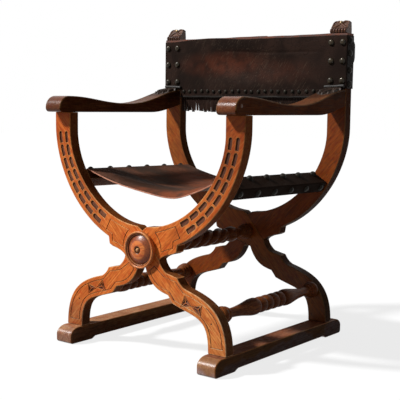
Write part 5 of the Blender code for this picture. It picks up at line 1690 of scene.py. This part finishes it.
def back_sheet(name, top, surface, worked, finishes):
    """One layer of the back, stretched across both posts and wrapped round their outer faces."""
    right = back_columns(top)
    left = [(Vector((-p.x, p.y)), Vector((-n.x, n.y)), low, high) for p, n, low, high in right[:0:-1]]
    plan = left + right
    top_waves, top_seed, top_height = TOP_RIPPLE
    x_waves, z_waves, seed, height = BACK_RIPPLE

    def place(column, row):
        base, normal, low, high = plan[column]
        x = base.x
        up = row / BACK_ROWS
        z = low + (high + top_rise(x, worked) - low) * row / BACK_ROWS
        out = surface
        if worked and abs(x) < HALF_SPAN - POST_CALM:
            free = 1 if abs(x) < FREE_END else POST_RIPPLE
            out += ripple(x * x_waves, z * z_waves, seed, height) * free - crease_at(x, z)
        point = base + normal * out
        wave = ripple(x * top_waves, 0.0, top_seed, top_height) * up ** TOP_RIPPLE_POWER
        return (point.x, point.y + belly(x, z), z + wave)

    piece = shaped_sheet(name, len(plan) - 1, BACK_ROWS, place, finishes)
    thicken(piece, LAYER - LAYER_CUT)
    across = path_lengths([base + normal * surface for base, normal, _, _ in plan])[-1]
    return piece, across


def make_back():
    """Face leather and lining of the back, with its hems, band and fringe."""
    finishes = [BACK_HIDE, FLESH_HIDE, DARK_CUT]
    face, across = back_sheet("back_face_leather", FACE_TOP, BACK_SURFACE, True, finishes)
    done(face, "back_leather", "back_leather", angle=50)
    lining, _ = back_sheet("back_lining", LINING_TOP, GAP + LAYER, False, [LINING_HIDE, FLESH_HIDE, CUT_HIDE])
    done(lining, "back_leather", angle=50)
    for side in SIDES:
        make_roll(side)
    band = make_band()
    fringe = make_fringe()


def make_roll(side):
    """The rolled hem of the back leather in front of a post, just over the arm."""
    end, end_radius = ROLL_END
    swell, waves = ROLL_SWELL
    profile = [(0.0, 0.0), (0.0, end_radius)]
    for step in range(ROLL_STEPS + 1):
        share = step / ROLL_STEPS
        radius = ROLL_RADIUS + swell * math.sin(waves * share + side)
        profile.append((-end - (ROLL_LENGTH - 2 * end) * share, radius))
    profile += [(-ROLL_LENGTH, end_radius), (-ROLL_LENGTH, 0.0)]
    piece = turned(f"{SIDES[side]}_back_roll", profile, [ROLL_HIDE], SMALL_STEPS)
    turn_to(piece, Vector((side * ROLL_START, *ROLL_PLACE)), Vector((side, 0.0, ROLL_TILT)).normalized())
    done(piece, "back_leather", angle=55)


def make_band():
    """The strip nailed along the foot of the back leather."""
    rise, roll = BAND_ROLL
    kept, wear_waves, seed = BAND_WEAR
    depth, dip_height = BAND_DIP
    x_waves, z_waves, height = BAND_RIPPLE

    def place(column, row):
        x = FREE_END * (2 * column / BAND_COLUMNS - 1)
        z = SKIRT + BAND_HEIGHT * row / BAND_ROWS
        at_tack = math.cos(2 * math.pi * x / TACK_PITCH)
        dip = depth * at_tack * math.exp(-((z - TACK_ROW) / dip_height) ** 2)
        worn = kept + ripple(x * wear_waves, 0.0, seed, 1.0)
        dip -= rise * worn * math.exp(-((z - SKIRT - roll) / roll) ** 2)
        return (x, BAND_FACE + dip, z + ripple(x * x_waves, 0.0, z * z_waves, height))

    finishes = [BACK_HIDE, FLESH_HIDE, DARK_CUT, HEM_HIDE]
    piece = shaped_sheet("nailed_band", BAND_COLUMNS, BAND_ROWS, place, finishes)
    for polygon in piece.data.polygons:
        if polygon.center.z < SKIRT + BAND_ROLL_REACH:
            polygon.material_index = HEM
    thicken(piece, BAND_THICKNESS - BAND_CUT)
    ease_rim(piece, BAND_EASE)
    done(piece, "back_leather", "back_band", angle=50)
    return piece


def make_fringe():
    """A strip of leather cut into thongs, each hanging a little differently."""
    count = int(2 * FREE_END / THONG_PITCH)
    start = -count * THONG_PITCH / 2
    columns = THONG_CORNERS * count
    cells = THONG_CORNERS - 1
    thongs = []
    for _ in range(count):
        length = THONG_LENGTH * CHANCE.uniform(*THONG_LENGTHS)
        sway = CHANCE.uniform(-THONG_SWAY, THONG_SWAY)
        twist = CHANCE.uniform(-THONG_TWIST, THONG_TWIST)
        thongs.append((length, sway, twist, CHANCE.uniform(0.0, THONG_CURL)))

    def place(column, row):
        number, corner = divmod(column, THONG_CORNERS)
        length, sway, twist, curl = thongs[number]
        x = start + number * THONG_PITCH + THONG_SLIT / 2 + THONG_WIDTH * corner / cells
        if row == THONG_ROWS:
            return (x, REAR_FACE, SKIRT + FRINGE_STRIP)
        share = 1 - row / (THONG_ROWS - 1)
        across = (corner / cells - 0.5) * THONG_WIDTH
        x += sway * share ** SWAY_POWER - across * THONG_TAPER * share
        y = REAR_FACE + across * twist * share + curl * share ** 2
        return (x, y, SKIRT - length * share)

    def is_slit(polygon):
        row, column = divmod(min(polygon.vertices), columns)
        return column % THONG_CORNERS == cells and row < THONG_ROWS - 1

    piece = shaped_sheet("thong_fringe", columns - 1, THONG_ROWS, place, [BACK_HIDE, FLESH_HIDE, DARK_CUT])
    choose(piece, "FACE", is_slit)
    bpy.ops.mesh.delete(type="FACE")
    leave_edit()
    thicken(piece, FRINGE_THICKNESS)
    done(piece, "back_leather", "back_fringe", angle=50)
    return piece


# Nails

def nail_places(side):
    """Node, place and outward direction of every large nail on one side of the chair."""
    word = SIDES[side]
    places = []
    ahead = Vector((0.0, -1.0, 0.0))
    for row, drop in enumerate(BACK_NAIL_ROWS):
        for column, x in enumerate((HALF_SPAN - BACK_NAIL_OUTER, INNER_SPAN + BACK_NAIL_INNER)):
            place = Vector((side * x, REAR_FACE - BACK_SURFACE, POST_HEIGHT - drop))
            places.append((f"{word}_back_nail_{2 * row + column + 1}", place, ahead))
    ends = [Vector((side * rail_corner(s).x, RAIL_ENDS[s], rail_corner(s).y)) for s in (0, 1)]
    run = (ends[0] - ends[1]).normalized()
    across = Vector((side * OUTWARD.x, 0.0, OUTWARD.y))
    down = Vector((side * DOWNWARD.x, 0.0, DOWNWARD.y))
    top_normal = across.cross(run).normalized()
    top_normal *= math.copysign(1.0, top_normal.z)
    outer_normal = run.cross(down).normalized()
    outer_normal *= math.copysign(1.0, outer_normal.dot(across))
    rear_y = RAIL_ENDS[0] - SEAT_NAIL_INSET
    front_y = RAIL_ENDS[1] + SEAT_NAIL_INSET
    for number in range(SEAT_NAILS):
        y = front_y + (rear_y - front_y) * number / (SEAT_NAILS - 1)
        corner = ends[0].lerp(ends[1], (RAIL_ENDS[0] - y) / (RAIL_ENDS[0] - RAIL_ENDS[1]))
        top = corner + across * TOP_NAIL_PLACE + top_normal * SEAT_SURFACE
        outer = corner + across * RAIL_WIDTH + down * OUTER_NAIL_PLACE + outer_normal * SEAT_SURFACE
        places.append((f"{word}_seat_top_nail_{number + 1}", top, top_normal))
        places.append((f"{word}_seat_side_nail_{number + 1}", outer, outer_normal))
    return places


def nail_profile(radius, height, shank):
    """A domed head with a thin flange and a shank, facing -Y."""
    shank_radius, length = shank
    rim, foot = NAIL_FLANGE
    profile = [(length, 0.0), (length - NAIL_POINT, shank_radius), (0.0, shank_radius)]
    profile += [(0.0, radius), (-rim, radius)]
    for sine, cosine in arc(0.0, math.pi / 2, DOME_STEPS)[1:-1]:
        profile.append((-foot - (height - foot) * sine ** DOME_FULLNESS, DOME_SHARE * radius * cosine))
    return profile + [(-height, 0.0)]


def make_nails():
    """One domed nail, copied to every place where the leather is nailed."""
    profile = nail_profile(NAIL_RADIUS, NAIL_HEIGHT, NAIL_SHANK)
    bright = turned("domed_nail", profile, [BRASS], SMALL_STEPS)
    shade(bright, 55)
    dark = copied(bright, "dark_nail")
    dark.data.materials[0] = IRON
    tall = copied(dark, "tall_nail")
    for vertex in tall.data.vertices:
        if vertex.co.y < 0:
            vertex.co.y *= TALL_NAIL
    patterns = {"back": bright, "side": dark, "top": tall}
    for side, word in SIDES.items():
        for node, place, normal in nail_places(side):
            kind = node.split("_nail_")[0].split("_")[-1]
            nail = copied(patterns[kind], f"domed_{node}")
            turn_to(nail, place + normal * GAP, normal)
            in_place(nail, "nail", node)
        for number, height in enumerate(SIDE_NAIL_HEIGHTS):
            nail = copied(dark, f"{word}_post_side_nail_{number + 1}")
            place = Vector((side * (HALF_SPAN + BACK_SURFACE), REAR_FACE + SIDE_NAIL_PLACE, height))
            turn_to(nail, place, Vector((side, 0.0, 0.0)))
            in_place(nail, "nail")
    for pattern in patterns.values():
        bpy.data.objects.remove(pattern, do_unlink=True)


def make_tacks():
    """The row of small tacks along the band."""
    pattern = turned("band_tack", nail_profile(TACK_RADIUS, TACK_HEIGHT, TACK_SHANK), [IRON], TACK_STEPS)
    shade(pattern, 55)
    count = int(2 * (FREE_END - TACK_MARGIN) / TACK_PITCH) + 1
    stray_x, stray_z = TACK_STRAY
    for number in range(count):
        x = TACK_PITCH * (number - (count - 1) / 2) + CHANCE.uniform(-stray_x, stray_x)
        z = TACK_ROW + CHANCE.uniform(-stray_z, stray_z)
        tack = copied(pattern, f"band_tack_{number + 1}")
        turn_to(tack, Vector((x, BAND_FACE, z)), Vector((0.0, -1.0, 0.0)))
        in_place(tack, "nail")
    bpy.data.objects.remove(pattern, do_unlink=True)


# Studio

CAMERA_PLACE = (1.62338, -2.09705, 0.68484)
CAMERA_RIGHT = (0.78728, 0.61649, 0.01177)
CAMERA_UP = (-0.07294, 0.07416, 0.99458)
CAMERA_VIEW = (-0.61227, 0.78387, -0.10335)
CAMERA_LENS = 81.74
CAMERA_SENSOR = 36.0
KEY_WAY = Vector((1.05, 1.0, -1.3)).normalized()
KEY_DISTANCE = 3.6
KEY_SOFTNESS = math.radians(5)
KEY_STRENGTH = 4.8
AIR_LIGHT = 0.10
FLOOR_SIZE = 30.0
FLOOR_WHITE = 0.80  # share of plain white in the floor as it is seen
FLOOR_PALE = (0.95, 0.95, 0.95)
FLOOR_BOUNCE = (0.25, 0.25, 0.25)  # the floor as it lights the chair from below
FLOOR_ROUGHNESS = 0.9
WHITE = (1.0, 1.0, 1.0)


def placed(name, data, place, turn):
    """Adds a camera or a lamp at a place, turned by a matrix."""
    thing = bpy.data.objects.new(name, data)
    bpy.context.scene.collection.objects.link(thing)
    thing.matrix_world = Matrix.Translation(place) @ turn.to_4x4()
    return thing


def make_camera():
    data = bpy.data.cameras.new("camera")
    data.lens = CAMERA_LENS
    data.sensor_width = CAMERA_SENSOR
    turn = Matrix((CAMERA_RIGHT, CAMERA_UP, [-part for part in CAMERA_VIEW])).transposed()
    bpy.context.scene.camera = placed("camera", data, CAMERA_PLACE, turn)


def make_key_light():
    data = bpy.data.lights.new("key_light", "SUN")
    data.angle = KEY_SOFTNESS
    data.energy = KEY_STRENGTH
    placed("key_light", data, -KEY_DISTANCE * KEY_WAY, KEY_WAY.to_track_quat("-Z", "Y").to_matrix())


def seen_share(tree):
    """One where the camera sees a surface straight, in a mirror or through glass."""
    path = add_node(tree, "ShaderNodeLightPath")
    seen = maths(tree, "MAXIMUM", path.outputs["Is Camera Ray"], path.outputs["Is Glossy Ray"])
    return maths(tree, "MAXIMUM", seen, path.outputs["Is Transmission Ray"])


def make_floor():
    """A pale floor that keeps the chair's shadow, nearly white where it is seen."""
    finish, tree, shader = new_finish("studio_floor")
    seen = seen_share(tree)
    put(tree, shader.inputs["Base Color"], mixed(tree, seen, opaque(FLOOR_BOUNCE), opaque(FLOOR_PALE)))
    put(tree, shader.inputs["Roughness"], FLOOR_ROUGHNESS)
    white = add_node(tree, "ShaderNodeEmission", Color=opaque(WHITE), Strength=1.0)
    both = add_node(tree, "ShaderNodeMixShader", Fac=maths(tree, "MULTIPLY", seen, FLOOR_WHITE))
    tree.links.new(shader.outputs["BSDF"], both.inputs[1])
    tree.links.new(white.outputs["Emission"], both.inputs[2])
    tree.links.new(both.outputs["Shader"], tree.nodes["Material Output"].inputs["Surface"])
    started("studio_floor", [finish], bpy.ops.mesh.primitive_plane_add, size=FLOOR_SIZE)


def make_air():
    """White where it is seen, and a low even light on the chair."""
    world = bpy.data.worlds.new("studio_air")
    bpy.context.scene.world = world
    world.use_nodes = True
    tree = world.node_tree
    air = tree.nodes["Background"]
    air.inputs["Color"].default_value = opaque(WHITE)
    strength = maths(tree, "MULTIPLY_ADD", seen_share(tree), 1.0 - AIR_LIGHT, AIR_LIGHT)
    tree.links.new(strength, air.inputs["Strength"])


for side in SIDES:
    make_cross_leg("front", side, FRONT_FACE, ARM_HEIGHT)
    make_cross_leg("rear", side, REAR_FACE, POST_HEIGHT)
    make_arm(side)
    make_arm_plug(side)
    make_leaf(side)
    make_runner(side)
    make_seat_rail(side)
    make_side_stretcher(side)
    make_finial(side)
make_centre_stretcher()
make_rosette()
make_seat()
make_back()
make_nails()
make_tacks()
make_camera()
make_key_light()
make_floor()
make_air()
bpy.context.scene.view_settings.view_transform = "Standard"
